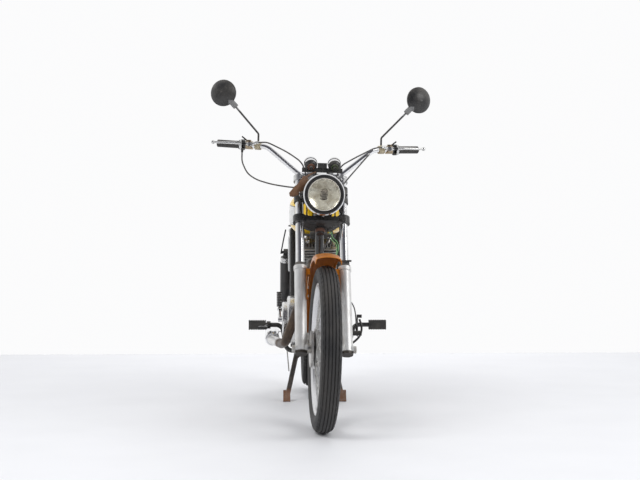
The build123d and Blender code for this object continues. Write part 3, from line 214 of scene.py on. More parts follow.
def noise_group(name, detail, roughness, low, high):
    """Noise stretched between two levels, as one mask."""
    group, enter, leave = new_group(
        name,
        [("Vector", "NodeSocketVector", None), ("Scale", "NodeSocketFloat", 20.0)],
        [("Mask", "NodeSocketFloat")])
    noise = add_node(group, "ShaderNodeTexNoise", Detail=detail, Roughness=roughness)
    spread = add_node(group, "ShaderNodeMapRange", From_Min=low, From_Max=high)
    connect(group, (enter, "Vector", noise, "Vector"), (enter, "Scale", noise, "Scale"),
            (noise, "Fac", spread, "Value"), (spread, "Result", leave, "Mask"))
    return group


def dust_group():
    """Spots of dust, thick on faces that look up and thin on the rest."""
    group, enter, leave = new_group(
        "settled_dust",
        [("Vector", "NodeSocketVector", None), ("Scale", "NodeSocketFloat", 12.0),
         ("Amount", "NodeSocketFloat", 0.3)],
        [("Mask", "NodeSocketFloat")])
    geometry = add_node(group, "ShaderNodeNewGeometry")
    parts = add_node(group, "ShaderNodeSeparateXYZ")
    upward = add_node(group, "ShaderNodeMapRange", From_Min=-0.2, From_Max=1.0, To_Min=0.15)
    noise = add_node(group, "ShaderNodeTexNoise", Detail=8.0, Roughness=0.65)
    spots = add_node(group, "ShaderNodeMapRange", From_Min=0.38, From_Max=0.7)
    both = add_node(group, "ShaderNodeMath")
    scaled = add_node(group, "ShaderNodeMath")
    both.operation = scaled.operation = "MULTIPLY"
    connect(group, (geometry, "Normal", parts, 0), (parts, "Z", upward, "Value"),
            (enter, "Vector", noise, "Vector"), (enter, "Scale", noise, "Scale"),
            (noise, "Fac", spots, "Value"), (upward, "Result", both, 0),
            (spots, "Result", both, 1), (both, 0, scaled, 0), (enter, "Amount", scaled, 1),
            (scaled, 0, leave, "Mask"))
    return group


GRAIN = noise_group("grain", 9.0, 0.62, 0.3, 0.7)
PATCHES = noise_group("patches", 4.0, 0.55, 0.36, 0.66)
DUST = dust_group()
print("groups:", GRAIN.name, PATCHES.name, DUST.name)

# %% [markdown]
# ## One recipe for most finishes
# A recipe mixes two tones by patches, lays dust on top, varies the roughness with the grain
# and adds a fine bump. Zones let one CAD node carry several finishes: each zone names a tone
# and a mask made from the object's own coordinates.

# %% Finish recipe
DUST_TONE = (0.42, 0.38, 0.33)
DUST_FINENESS = 2.2  # dust spots to a patch
DUST_ROUGHNESS = 0.35
BUMP_DISTANCE = 0.0006


class Recipe:
    """Builds a material and keeps its nodes at hand for extra zones."""

    def __init__(self, name, tone, second, rough=(0.3, 0.5), metallic=0.0, coat=0.0,
                 patch_scale=9.0, grain_scale=160.0, bump=0.15, dust=0.25, dust_tone=DUST_TONE):
        self.material, self.tree, self.bsdf = new_material(name)
        self.vector = add_node(self.tree, "ShaderNodeTexCoord").outputs["Object"]
        self.grain = self.group(GRAIN, Scale=grain_scale)
        self.colour = self.mix(self.group(PATCHES, Scale=patch_scale), tone, second)
        self.dust_mask = self.group(DUST, Scale=patch_scale * DUST_FINENESS, Amount=dust)
        self.dust_tone = dust_tone
        self.rough = rough
        self.bump = bump
        for label, value in (("Metallic", metallic), ("Coat Weight", coat),
                             ("Coat Roughness", 0.08)):
            self.bsdf.inputs[label].default_value = value

    def group(self, tree, **values):
        node = add_node(self.tree, "ShaderNodeGroup")
        node.node_tree = tree
        self.tree.links.new(self.vector, node.inputs["Vector"])
        for label, value in values.items():
            node.inputs[label].default_value = value
        return node.outputs[0]

    def mix(self, mask, first, second):
        """One tone or colour output where the mask is nought, another where it is one."""
        node = self.tree.nodes.new("ShaderNodeMix")
        node.data_type = "RGBA"
        for index, value in ((6, first), (7, second)):
            if isinstance(value, tuple):
                node.inputs[index].default_value = (*value, 1.0)
            else:
                self.tree.links.new(value, node.inputs[index])
        self.tree.links.new(mask, node.inputs[0])
        return node.outputs[2]

    def math(self, operation, *values):
        node = self.tree.nodes.new("ShaderNodeMath")
        node.operation = operation
        for index, value in enumerate(values):
            if isinstance(value, (int, float)):
                node.inputs[index].default_value = value
            else:
                self.tree.links.new(value, node.inputs[index])
        return node.outputs[0]

    def ramp(self, value, low, high, to_low=0.0, to_high=1.0):
        """Carries a range of values smoothly onto another range."""
        node = add_node(self.tree, "ShaderNodeMapRange", From_Min=low, From_Max=high,
                        To_Min=to_low, To_Max=to_high)
        node.interpolation_type = "SMOOTHSTEP"
        self.tree.links.new(value, node.inputs["Value"])
        return node.outputs["Result"]

    def between(self, value, low, high, blend=0.002):
        """One inside a range of values, nought outside it."""
        return self.both(self.ramp(value, low - blend, low + blend),
                         self.ramp(value, high - blend, high + blend, 1.0, 0.0))

    def both(self, first, second):
        """One where both masks are one."""
        return self.math("MULTIPLY", first, second)

    def local(self, matrix):
        """Coordinates measured in a placed frame, such as a hub's."""
        node = self.tree.nodes.new("ShaderNodeMapping")
        node.vector_type = "TEXTURE"
        place, turn, _ = matrix.decompose()
        node.inputs["Location"].default_value = place
        node.inputs["Rotation"].default_value = turn.to_euler()
        self.tree.links.new(self.vector, node.inputs["Vector"])
        parts = add_node(self.tree, "ShaderNodeSeparateXYZ")
        connect(self.tree, (node, 0, parts, 0))
        return parts.outputs

    def from_axis(self, matrix):
        """Distance from the X axis of a placed frame."""
        _, y, z = self.local(matrix)
        return self.math("SQRT", self.math("ADD", self.math("MULTIPLY", y, y),
                                           self.math("MULTIPLY", z, z)))

    def zone(self, mask, tone):
        """Lays a tone over what is there, where the mask is one."""
        self.colour = self.mix(mask, self.colour, tone)

    def done(self):
        colour = self.mix(self.dust_mask, self.colour, self.dust_tone)
        rough = self.math("MULTIPLY_ADD", self.dust_mask, DUST_ROUGHNESS,
                          self.ramp(self.grain, 0.0, 1.0, *self.rough))
        bump = add_node(self.tree, "ShaderNodeBump", Strength=self.bump, Distance=BUMP_DISTANCE)
        for outlet, inlet in ((colour, self.bsdf.inputs["Base Color"]),
                              (rough, self.bsdf.inputs["Roughness"]),
                              (self.grain, bump.inputs["Height"]),
                              (bump.outputs[0], self.bsdf.inputs["Normal"])):
            self.tree.links.new(outlet, inlet)
        return self.material


def give(material, *names):
    """Puts a finish on carried-over CAD nodes."""
    for name in names:
        mesh = nodes[name].data
        mesh.materials.clear()
        mesh.materials.append(material)


FRAME_BLACK = Recipe("frame_black", (0.012, 0.012, 0.013), (0.03, 0.028, 0.026),
                     rough=(0.22, 0.42), coat=0.35, dust=0.10).done()
POLISHED = Recipe("polished_alloy", (0.78, 0.78, 0.77), (0.62, 0.62, 0.61), rough=(0.16, 0.34),
                  metallic=1.0, patch_scale=14.0, dust=0.12).done()
CAST_ALLOY = Recipe("cast_alloy", (0.56, 0.56, 0.55), (0.40, 0.39, 0.37), rough=(0.38, 0.6),
                    metallic=0.9, patch_scale=16.0, grain_scale=420.0, bump=0.35, dust=0.3).done()
CHROME = Recipe("chrome", (0.86, 0.87, 0.88), (0.74, 0.73, 0.72), rough=(0.05, 0.16),
                metallic=1.0, patch_scale=30.0, grain_scale=700.0, bump=0.05, dust=0.08).done()
STEEL = Recipe("plated_steel", (0.55, 0.55, 0.54), (0.38, 0.35, 0.31), rough=(0.25, 0.45),
               metallic=1.0, patch_scale=40.0, dust=0.2).done()
RUBBER = Recipe("black_rubber", (0.018, 0.018, 0.018), (0.035, 0.033, 0.031), rough=(0.5, 0.7),
                grain_scale=500.0, bump=0.3, dust=0.4).done()
BLACK_SATIN = Recipe("black_satin", (0.016, 0.016, 0.017), (0.032, 0.031, 0.03),
                     rough=(0.32, 0.5), patch_scale=14.0, grain_scale=300.0, dust=0.3).done()


def fender_paint(name, hub):
    """Amber outside, with painted shade on the side that faces the tyre: a deeper amber there."""
    recipe = Recipe(name, (0.60, 0.195, 0.003), (0.40, 0.115, 0.002), rough=(0.26, 0.40),
                    metallic=0.35, coat=0.12, patch_scale=6.0, grain_scale=900.0, bump=0.04,
                    dust=0.10)
    geometry = add_node(recipe.tree, "ShaderNodeNewGeometry")
    normal = add_node(recipe.tree, "ShaderNodeSeparateXYZ")
    connect(recipe.tree, (geometry, "Normal", normal, 0))
    _, y, z = recipe.local(hub)
    outward = recipe.math("ADD", recipe.math("MULTIPLY", y, normal.outputs["Y"]),
                          recipe.math("MULTIPLY", z, normal.outputs["Z"]))
    # painted shade: faces turned toward the hub, under the fender, get a deeper amber
    recipe.zone(recipe.ramp(outward, -0.02, -0.12), (0.36, 0.105, 0.004))
    return recipe.done()


def two_toned(recipe, matrix, axis, start, end, tone):
    """Ends a recipe with another tone past a point on one axis of a placed frame."""
    recipe.zone(recipe.ramp(recipe.local(matrix)[axis], start, end), tone)
    return recipe.done()


FENDER_GOLD = fender_paint("orange_gold", FRONT_HUB)
REAR_GOLD = fender_paint("orange_gold_rear", REAR_HUB)
SLIDER_METAL = two_toned(  # painted shade: dark below the axle
    Recipe("slider_alloy", (0.72, 0.72, 0.71), (0.62, 0.61, 0.59), rough=(0.34, 0.48),
           metallic=0.6, patch_scale=18.0, grain_scale=300.0, bump=0.12, dust=0.18),
    FORK, 2, -0.008, -0.014, (0.035, 0.028, 0.024))
PANEL_SILVER = Recipe("panel_silver", (0.72, 0.72, 0.71), (0.62, 0.62, 0.61), rough=(0.24, 0.34),
                      metallic=0.45, coat=0.4, patch_scale=5.0, grain_scale=1400.0, bump=0.03,
                      dust=0.06).done()
HEADER_BROWN = two_toned(  # bright behind the bend
    Recipe("heated_steel", (0.055, 0.042, 0.035), (0.11, 0.075, 0.05), rough=(0.3, 0.5),
           metallic=0.7, patch_scale=22.0, grain_scale=260.0, bump=0.3, dust=0.2),
    BIKE, 1, -0.075, -0.050, (0.82, 0.81, 0.79))
RED_LENS = Recipe("red_lens", (0.42, 0.012, 0.012), (0.30, 0.008, 0.008), rough=(0.12, 0.22),
                  coat=0.6, dust=0.12).done()
PLATE_WHITE = Recipe("blank_plate", (0.72, 0.72, 0.70), (0.64, 0.63, 0.60), rough=(0.35, 0.5),
                     dust=0.2).done()
TYRE = Recipe("tyre_rubber", (0.020, 0.020, 0.021), (0.036, 0.034, 0.032), rough=(0.55, 0.78),
              patch_scale=7.0, grain_scale=380.0, bump=0.4, dust=0.32,
              dust_tone=(0.13, 0.115, 0.10)).done()
SEAT_VINYL = Recipe("seat_vinyl", (0.016, 0.015, 0.015), (0.03, 0.028, 0.027), rough=(0.38, 0.55),
                    patch_scale=9.0, grain_scale=520.0, bump=0.5, dust=0.22).done()


def wheel_metal(name, matrix, rim_radius):
    """Dull alloy for hub and spokes, brighter from the rim outward."""
    recipe = Recipe(name, (0.60, 0.60, 0.59), (0.44, 0.43, 0.41), rough=(0.18, 0.38),
                    metallic=1.0, patch_scale=26.0, grain_scale=600.0, bump=0.04, dust=0.15)
    recipe.zone(recipe.ramp(recipe.from_axis(matrix), rim_radius - 0.002, rim_radius),
                (0.72, 0.72, 0.73))
    return recipe.done()


FRONT_METAL = wheel_metal("front_wheel_metal", FRONT_HUB, 0.232)
REAR_METAL = wheel_metal("rear_wheel_metal", REAR_HUB, 0.219)

# Places of the painted zones, in the plain layout
PANEL_LOW, PANEL_HIGH = 0.818, 0.895
PANEL_FRONT, PANEL_REAR = -0.185, 0.065
PANEL_SIDE, PANEL_RISE = 0.080, 0.10  # the lower edge rises toward the seat
LINE_WIDTH = 0.004
CAP_FRONT, CAP_REAR, CAP_UP, CAP_SIDE = -0.147, -0.073, 0.9412, 0.0335
PERCH_INNER, PERCH_OUTER, CASE_OUTER, PERCH_FRONT = 0.262, 0.309, 0.326, -0.268
NECK_LOW, NECK_HIGH, NECK_SIDE, CLAMP_TOP = 1.262, 1.302, 0.386, 1.142


def tank_paint():
    """Yellow, with a pale panel in a dark line on each flank and a pale filler cap."""
    paint = Recipe("tank_paint", (0.86, 0.56, 0.012), (0.80, 0.49, 0.010), rough=(0.14, 0.26),
                   coat=0.15, patch_scale=5.0, grain_scale=900.0, bump=0.03, dust=0.05)
    x, y, z = paint.local(BIKE)
    side = paint.math("ABSOLUTE", x)
    low = paint.math("MULTIPLY_ADD", y, -PANEL_RISE, z)
    for edge, tone in ((LINE_WIDTH, (0.03, 0.03, 0.03)), (0.0, (0.66, 0.66, 0.65))):
        flank = paint.both(paint.ramp(side, PANEL_SIDE - 0.004 - edge, PANEL_SIDE - edge),
                           paint.between(low, PANEL_LOW - edge, PANEL_HIGH + edge, 0.0008))
        along = paint.between(y, PANEL_FRONT - edge, PANEL_REAR + edge, 0.0008)
        paint.zone(paint.both(flank, along), tone)
    cap = paint.both(paint.between(y, CAP_FRONT, CAP_REAR, 0.0005),
                     paint.ramp(z, CAP_UP, CAP_UP + 0.0004))
    paint.zone(paint.both(cap, paint.ramp(side, CAP_SIDE, CAP_SIDE - 0.0005)),
               (0.66, 0.66, 0.66))
    return paint.done()


def lever_metal():
    """Bright levers, with brownish perches on the bar and black switch cases."""
    metal = Recipe("lever_alloy", (0.74, 0.74, 0.73), (0.60, 0.60, 0.58), rough=(0.14, 0.3),
                   metallic=1.0, patch_scale=30.0, dust=0.12)
    x, y, _ = metal.local(STEER)
    side = metal.math("ABSOLUTE", x)
    metal.zone(metal.both(metal.between(side, PERCH_INNER, PERCH_OUTER, 0.001),
                          metal.ramp(y, PERCH_FRONT, PERCH_FRONT + 0.002)), (0.36, 0.29, 0.20))
    metal.zone(metal.between(side, PERCH_OUTER, CASE_OUTER, 0.001), (0.05, 0.05, 0.05))
    return metal.done()


def mirror_black():
    """Black shells on grey necks, with pale clamps on the bar."""
    paint = Recipe("mirror_black", (0.014, 0.014, 0.015), (0.03, 0.029, 0.028),
                   rough=(0.3, 0.46), patch_scale=14.0, grain_scale=300.0, dust=0.25)
    x, _, z = paint.local(STEER)
    side = paint.math("ABSOLUTE", x)
    paint.zone(paint.both(paint.between(z, NECK_LOW, NECK_HIGH),
                          paint.ramp(side, NECK_SIDE, NECK_SIDE - 0.002)), (0.16, 0.16, 0.16))
    paint.zone(paint.ramp(z, CLAMP_TOP, CLAMP_TOP - 0.002), (0.42, 0.36, 0.24))
    return paint.done()


TANK_PAINT = tank_paint()
LEVER_METAL = lever_metal()
MIRROR_BLACK = mirror_black()
STAND_METAL = two_toned(  # rusty feet
    Recipe("stand_black", (0.014, 0.013, 0.013), (0.05, 0.034, 0.026), rough=(0.35, 0.6),
           patch_scale=30.0, bump=0.3, dust=0.35),
    BIKE, 2, 0.066, 0.044, (0.16, 0.075, 0.04))
HEAD_ALLOY = two_toned(  # painted shade: a dark top under the tank and behind the upper fins
    Recipe("head_alloy", (0.50, 0.50, 0.49), (0.34, 0.33, 0.31), rough=(0.38, 0.6),
           metallic=0.85, patch_scale=20.0, grain_scale=420.0, bump=0.4, dust=0.25),
    LEAN, 2, 0.222, 0.232, (0.10, 0.095, 0.09))
CABLE_BLACK = Recipe("cable_black", (0.035, 0.035, 0.036), (0.075, 0.07, 0.066),
                     rough=(0.32, 0.5), patch_scale=30.0, bump=0.1, dust=0.25).done()

for finish, names in (
        (FRAME_BLACK, "frame_main frame_rear frame_cradle swingarm lower_yoke foot_levers"),
        (STAND_METAL, "centre_stand"),
        (TANK_PAINT, "tank"),
        (PANEL_SILVER, "side_panels"),
        (FENDER_GOLD, "front_fender"),
        (REAR_GOLD, "rear_fender"),
        (CHROME, "handlebar headlight_rim headlight_lens silencer kick_starter fork_stanchions"),
        (LEVER_METAL, "control_levers"),
        (SLIDER_METAL, "fork_sliders"),
        (POLISHED, "upper_yoke engine_covers"),
        (CAST_ALLOY, "crankcase cylinder carburettor"),
        (HEAD_ALLOY, "cylinder_head"),
        (STEEL, "front_axle rear_axle drive_chain rear_sprocket"),
        (FRONT_METAL, "front_wheel"),
        (REAR_METAL, "rear_wheel"),
        (HEADER_BROWN, "header_pipe"),
        (TYRE, "front_tyre rear_tyre"),
        (RUBBER, "grips footpeg_rubbers"),
        (MIRROR_BLACK, "mirrors"),
        (CABLE_BLACK, "control_cables"),
        (BLACK_SATIN, "headlight_shell instruments air_box rear_shocks chain_guard"),
        (SEAT_VINYL, "seat"),
        (RED_LENS, "tail_lamp"),
        (PLATE_WHITE, "number_plate")):
    give(finish, *names.split())
print("materials:", len(bpy.data.materials))

# %% [markdown]
# ## Tools for drawn pieces
# Each piece is a mesh made in the plain layout, carried to its place by one of the matrices,
# and tied to a body. Turned profiles, tubes along points and extruded outlines cover most.

# %% Mesh tools
SIDES = ((-1, "R"), (1, "L"))
CREASE = radians(38.0)  # edges sharper than this stay crisp under smooth shading


def make_piece(name, verts, faces, matrix, body, material, smooth=True, replaces=(), bevel=None):
    """A drawn mesh, carried to its place and tied to a body."""
    mesh = bpy.data.meshes.new(name)
    mesh.from_pydata([matrix @ Vector(v) for v in verts], [], faces)
    mesh.validate()
    bm = bmesh.new()
    bm.from_mesh(mesh)
    bmesh.ops.remove_doubles(bm, verts=bm.verts, dist=1e-6)
    bmesh.ops.recalc_face_normals(bm, faces=bm.faces)
    bm.to_mesh(mesh)
    bm.free()
    mesh.materials.append(material)
    if smooth:
        mesh.shade_smooth()
    piece = add_object(name, mesh)
    if bevel:
        chamfer = piece.modifiers.new("edge", "BEVEL")
        chamfer.width = bevel
        chamfer.segments = 2
        chamfer.limit_method = "ANGLE"
        chamfer.harden_normals = True
        bake(piece)
    if smooth:
        sharpen(piece)
    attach(piece, body)
    if replaces:
        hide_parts(*replaces)
    return piece


def bake(piece):
    """Turn a piece's modifiers into a plain mesh."""
    bpy.context.view_layer.update()
    graph = bpy.context.evaluated_depsgraph_get()
    baked = bpy.data.meshes.new_from_object(piece.evaluated_get(graph))
    piece.modifiers.clear()
    piece.data = baked


def sharpen(piece):
    """Mark the edges that stay crisp."""
    bm = bmesh.new()
    bm.from_mesh(piece.data)
    for edge in bm.edges:
        edge.smooth = len(edge.link_faces) == 2 and edge.calc_face_angle(0.0) < CREASE
    bm.to_mesh(piece.data)
    bm.free()


def lathe(profile, steps=64, closed=True):
    """Turn (along, radius) points about the X axis; a radius of 0.0001 stands for the axis."""
    verts, faces = [], []
    count = len(profile)
    for i in range(steps):
        angle = 2 * pi * i / steps
        verts += [(x, r * cos(angle), r * sin(angle)) for x, r in profile]
        here, there = i * count, (i + 1) % steps * count
        for j in range(count if closed else count - 1):
            k = (j + 1) % count
            faces.append((here + j, here + k, there + k, there + j))
    return verts, faces


def turned(name, profile, steps, place, body, material, closed=True, **more):
    """A piece turned about the X axis of its place."""
    return make_piece(name, *lathe(profile, steps, closed), place, body, material, **more)


def loft_faces(rings, sides):
    """Faces that join closed rings in a row, with a cap at each end."""
    faces = []
    for i in range(rings - 1):
        for j in range(sides):
            k = (j + 1) % sides
            faces.append((i * sides + j, i * sides + k, (i + 1) * sides + k, (i + 1) * sides + j))
    faces.append(tuple(reversed(range(sides))))
    faces.append(tuple(range((rings - 1) * sides, rings * sides)))
    return faces


def sweep_tube(points, radius, sides):
    """A round tube along a list of points."""
    points = [Vector(p) for p in points]
    side = (points[1] - points[0]).normalized().orthogonal().normalized()
    verts = []
    for i, point in enumerate(points):
        ahead = (points[min(i + 1, len(points) - 1)] - points[max(i - 1, 0)]).normalized()
        side = (side - ahead * side.dot(ahead)).normalized()
        up = ahead.cross(side)
        for j in range(sides):
            angle = 2 * pi * j / sides
            verts.append(point + (side * cos(angle) + up * sin(angle)) * radius)
    return verts, loft_faces(len(points), sides)


def smooth_path(points, per_run=10):
    """Points along a smooth NURBS curve through the control points' neighbourhood."""
    curve = bpy.data.curves.new("route", "CURVE")
    curve.dimensions = "3D"
    spline = curve.splines.new("NURBS")
    spline.points.add(len(points) - 1)
    for item, point in zip(spline.points, points):
        item.co = (*point, 1.0)
    spline.order_u = 3
    spline.use_endpoint_u = True
    curve.resolution_u = per_run
    holder = add_object("route", curve)
    bpy.context.view_layer.update()
    graph = bpy.context.evaluated_depsgraph_get()
    mesh = bpy.data.meshes.new_from_object(holder.evaluated_get(graph))
    route = [v.co.copy() for v in mesh.vertices]
    bpy.data.objects.remove(holder)
    return route


def joined(*parts):
    verts, faces = [], []
    for more_verts, more_faces in parts:
        base = len(verts)
        verts += [tuple(v) for v in more_verts]
        faces += [tuple(base + i for i in face) for face in more_faces]
    return verts, faces


def placed(shape, matrix):
    verts, faces = shape
    return [tuple(matrix @ Vector(v)) for v in verts], faces


def mirrored_x(shape):
    verts, faces = shape
    return [(-x, y, z) for x, y, z in verts], [tuple(reversed(f)) for f in faces]


def prism(outline, low, high):
    """Extrude an outline of (y, z) points along X."""
    count = len(outline)
    verts = [(x, y, z) for x in (low, high) for y, z in outline]
    faces = [tuple(reversed(range(count))), tuple(range(count, 2 * count))]
    faces += [(i, (i + 1) % count, count + (i + 1) % count, count + i) for i in range(count)]
    return verts, faces


def hexagon(radius, low, high):
    return prism([(radius * cos(radians(60 * i)), radius * sin(radians(60 * i)))
                  for i in range(6)], low, high)


def oblong(u0, u1, v0, v1):
    """The corners of a rectangle, as a profile or an outline."""
    return [(u0, v0), (u0, v1), (u1, v1), (u1, v0)]


print("mesh tools ready")

# %% [markdown]
# ## Tyres
# The front tyre has straight ribs with fine cross cuts. The rear one has staggered blocks.
# A Geometry Nodes tree turns one drawn slice of the tread into the whole tyre: the slice is
# instanced round the axle, then the instances are made real.

# %% Tyre slices and the ring that repeats them
CROWN_SHARE, SHOULDER_DROP = 0.80, 0.17  # of the half width and of the section height
BULGE_WIDTH, BULGE_HEIGHT = 1.10, 0.52
WALL_POINTS = 11  # the bead and side wall's points, before the crown
CROWN_SAMPLES = 72
SLICE_STEPS = 6


def ring_of(name, slice_mesh, count, material):
    """Geometry Nodes: instance a slice mesh round X, count times, as one real mesh."""
    tree = bpy.data.node_groups.new(name + "_ring", "GeometryNodeTree")
    for label, way, kind in (("Slice", "INPUT", "Object"), ("Count", "INPUT", "Int"),
                             ("Finish", "INPUT", "Material"), ("Geometry", "OUTPUT", "Geometry")):
        tree.interface.new_socket(label, in_out=way, socket_type="NodeSocket" + kind)
    enter = add_node(tree, "NodeGroupInput")
    leave = add_node(tree, "NodeGroupOutput")
    line = add_node(tree, "GeometryNodeMeshLine", Offset=(0.0, 0.0, 0.0))
    index = add_node(tree, "GeometryNodeInputIndex")
    share = add_node(tree, "ShaderNodeMath")
    share.operation = "DIVIDE"
    angle = add_node(tree, "ShaderNodeMath")
    angle.operation = "MULTIPLY"
    angle.inputs[1].default_value = 2 * pi
    turn = add_node(tree, "ShaderNodeCombineXYZ")
    euler = add_node(tree, "FunctionNodeEulerToRotation")
    info = add_node(tree, "GeometryNodeObjectInfo")
    copies = add_node(tree, "GeometryNodeInstanceOnPoints")
    real = add_node(tree, "GeometryNodeRealizeInstances")
    weld = add_node(tree, "GeometryNodeMergeByDistance", Distance=0.00002)
    shade = add_node(tree, "GeometryNodeSetMaterial")
    connect(tree, (enter, "Count", line, "Count"), (index, 0, share, 0),
            (enter, "Count", share, 1), (share, 0, angle, 0), (angle, 0, turn, "X"),
            (turn, 0, euler, 0), (enter, "Slice", info, "Object"),
            (line, "Mesh", copies, "Points"), (info, "Geometry", copies, "Instance"),
            (euler, 0, copies, "Rotation"), (copies, "Instances", real, "Geometry"),
            (real, "Geometry", weld, "Geometry"), (weld, "Geometry", shade, "Geometry"),
            (enter, "Finish", shade, "Material"), (shade, "Geometry", leave, "Geometry"))

    source = add_object(name + "_slice", slice_mesh)
    holder = add_object(name, bpy.data.meshes.new(name))
    modifier = holder.modifiers.new("ring", "NODES")
    modifier.node_group = tree
    keys = {item.name: item.identifier for item in tree.interface.items_tree
            if item.in_out == "INPUT"}
    modifier[keys["Slice"]] = source
    modifier[keys["Count"]] = count
    modifier[keys["Finish"]] = material
    bake(holder)
    bpy.data.objects.remove(source)
    verts = [tuple(v.co) for v in holder.data.vertices]
    faces = [tuple(p.vertices) for p in holder.data.polygons]
    bpy.data.objects.remove(holder)
    return verts, faces


def crown_profile(radius, half, bead_radius, bead_half, grooves, depth, width):
    """Outer tyre line from bead to bead, with grooves cut into the crown."""
    points = [(-bead_half, bead_radius + 0.001), (-bead_half, bead_radius + 0.0096),
              (-bead_half - 0.0035, bead_radius + 0.0118)]
    section = radius - bead_radius
    edge_x, edge_r = CROWN_SHARE * half, radius - SHOULDER_DROP * section
    low, edge = Vector(points[-1]), Vector((-edge_x, edge_r))
    bulge = Vector((-half * BULGE_WIDTH, bead_radius + BULGE_HEIGHT * section))
    for i in range(1, 9):
        t = i / 9
        points.append(tuple(low.lerp(bulge, t).lerp(bulge.lerp(edge, t), t)))
    crown_r = (edge_x ** 2 + (radius - edge_r) ** 2) / (2 * (radius - edge_r))
    for i in range(CROWN_SAMPLES + 1):
        x = -edge_x + 2 * edge_x * i / CROWN_SAMPLES
        r = radius - crown_r + (crown_r ** 2 - x * x) ** 0.5
        in_groove = any(abs(x - g) < width / 2 for g in grooves)
        points.append((x, r - depth if in_groove else r))
    return points + [(-x, r) for x, r in reversed(points[:WALL_POINTS])]


def tyre_slice(profile, slices, cut):
    """One angular slice of the tyre; cut(x, share, r) gives how deep a point sinks."""
    verts, faces = [], []
    count = len(profile)
    for i in range(SLICE_STEPS + 1):
        share = i / SLICE_STEPS
        angle = 2 * pi / slices * share
        for x, r in profile:
            sunk = r - cut(x, share, r)
            verts.append((x, sunk * cos(angle), sunk * sin(angle)))
    for i in range(SLICE_STEPS):
        for a in range(i * count, (i + 1) * count - 1):
            faces.append((a, a + 1, a + count + 1, a + count))
    mesh = bpy.data.meshes.new("slice")
    mesh.from_pydata(verts, [], faces)
    return mesh


def front_cut(x, share, r):
    """Small notches outside the outer grooves."""
    return 0.0022 if 0.0265 < abs(x) < 0.033 and r > 0.300 and 0.3 < share < 0.7 else 0.0


def rear_cut(x, share, r):
    """Staggered blocks across the crown."""
    if r < 0.298 or abs(x) > 0.046:
        return 0.0
    lane = int((x + 0.048) / 0.016)
    place = (share + 0.5 * (lane % 2)) % 1.0
    return 0.0065 if 0.0 <= place < 0.17 or 0.5 <= place < 0.67 else 0.0


def build_tyre(end, hub, slices, cut, *line):
    """A treaded tyre for one end of the machine, in place of the plain CAD one."""
    name = end + "_tread"
    shape = ring_of(name, tyre_slice(crown_profile(*line), slices, cut), slices, TYRE)
    return make_piece(name, *shape, hub, end + "_wheel", TYRE, replaces=(end + "_tyre",))


front_tread = build_tyre("front", FRONT_HUB, 60, front_cut, 0.320, 0.0415, 0.243, 0.027,
                         [-0.0245, -0.0125, 0.0, 0.0125, 0.0245], 0.0042, 0.0030)
rear_tread = build_tyre("rear", REAR_HUB, 44, rear_cut, 0.322, 0.054, 0.230, 0.032,
                        [-0.032, -0.016, 0.0, 0.016, 0.032], 0.0065, 0.0036)
print("tyre faces:", len(front_tread.data.polygons), len(rear_tread.data.polygons))

# %% [markdown]
# ## Headlight
# Behind a domed, fluted glass sits a pressed reflector with a bulb and its shade. A black
# band runs between the bright outer rim and the lens.

# %% Reflector, bulb, glass and bands
# In the lamp's frame +X points forward out of it.
LAMP = STEER @ Matrix.Translation((0.0, -0.508, 0.918)) @ Matrix.Rotation(radians(-90.0), 4, "Z")

GLASS, glass_tree, glass_bsdf = new_material("fluted_glass")
for label, value in (("Base Color", (0.96, 0.98, 0.97, 1.0)), ("Transmission Weight", 1.0),
                     ("IOR", 1.12), ("Roughness", 0.03)):
    glass_bsdf.inputs[label].default_value = value
glass_coord = add_node(glass_tree, "ShaderNodeTexCoord")
glass_wave = add_node(glass_tree, "ShaderNodeTexWave", Scale=42.0)
glass_wave.bands_direction = "X"
glass_bump = add_node(glass_tree, "ShaderNodeBump", Strength=0.06, Distance=0.0008)
connect(glass_tree, (glass_coord, "Object", glass_wave, "Vector"),
        (glass_wave, "Fac", glass_bump, "Height"), (glass_bump, 0, glass_bsdf, "Normal"))

REFLECTOR = Recipe("reflector", (0.56, 0.52, 0.45), (0.30, 0.26, 0.20), rough=(0.14, 0.26),
                   metallic=1.0, patch_scale=26.0, grain_scale=120.0, bump=0.03, dust=0.05).done()
RING_BLACK = Recipe("ring_black", (0.006, 0.006, 0.006), (0.014, 0.013, 0.013), rough=(0.35, 0.5),
                    grain_scale=300.0, bump=0.1, dust=0.05).done()
BULB_DARK = Recipe("bulb_shade", (0.10, 0.09, 0.08), (0.2, 0.17, 0.14), rough=(0.25, 0.4),
                   metallic=0.6, dust=0.05).done()
PALE_RING = Recipe("pale_ring", (0.78, 0.76, 0.70), (0.66, 0.62, 0.54), rough=(0.25, 0.4),
                   metallic=0.3, dust=0.1).done()


def arc_points(r0, x0, x1, count):
    """A dome's profile from radius r0 at x0 to the axis at x1, centred on the axis."""
    rise = abs(x1 - x0)
    ball = (r0 * r0 + rise * rise) / (2 * rise)
    way = 1 if x1 > x0 else -1
    points = []
    for i in range(count + 1):
        r = r0 * (1 - i / count)
        points.append((x1 - way * (ball - (ball * ball - r * r) ** 0.5), max(r, 1e-5)))
    return points


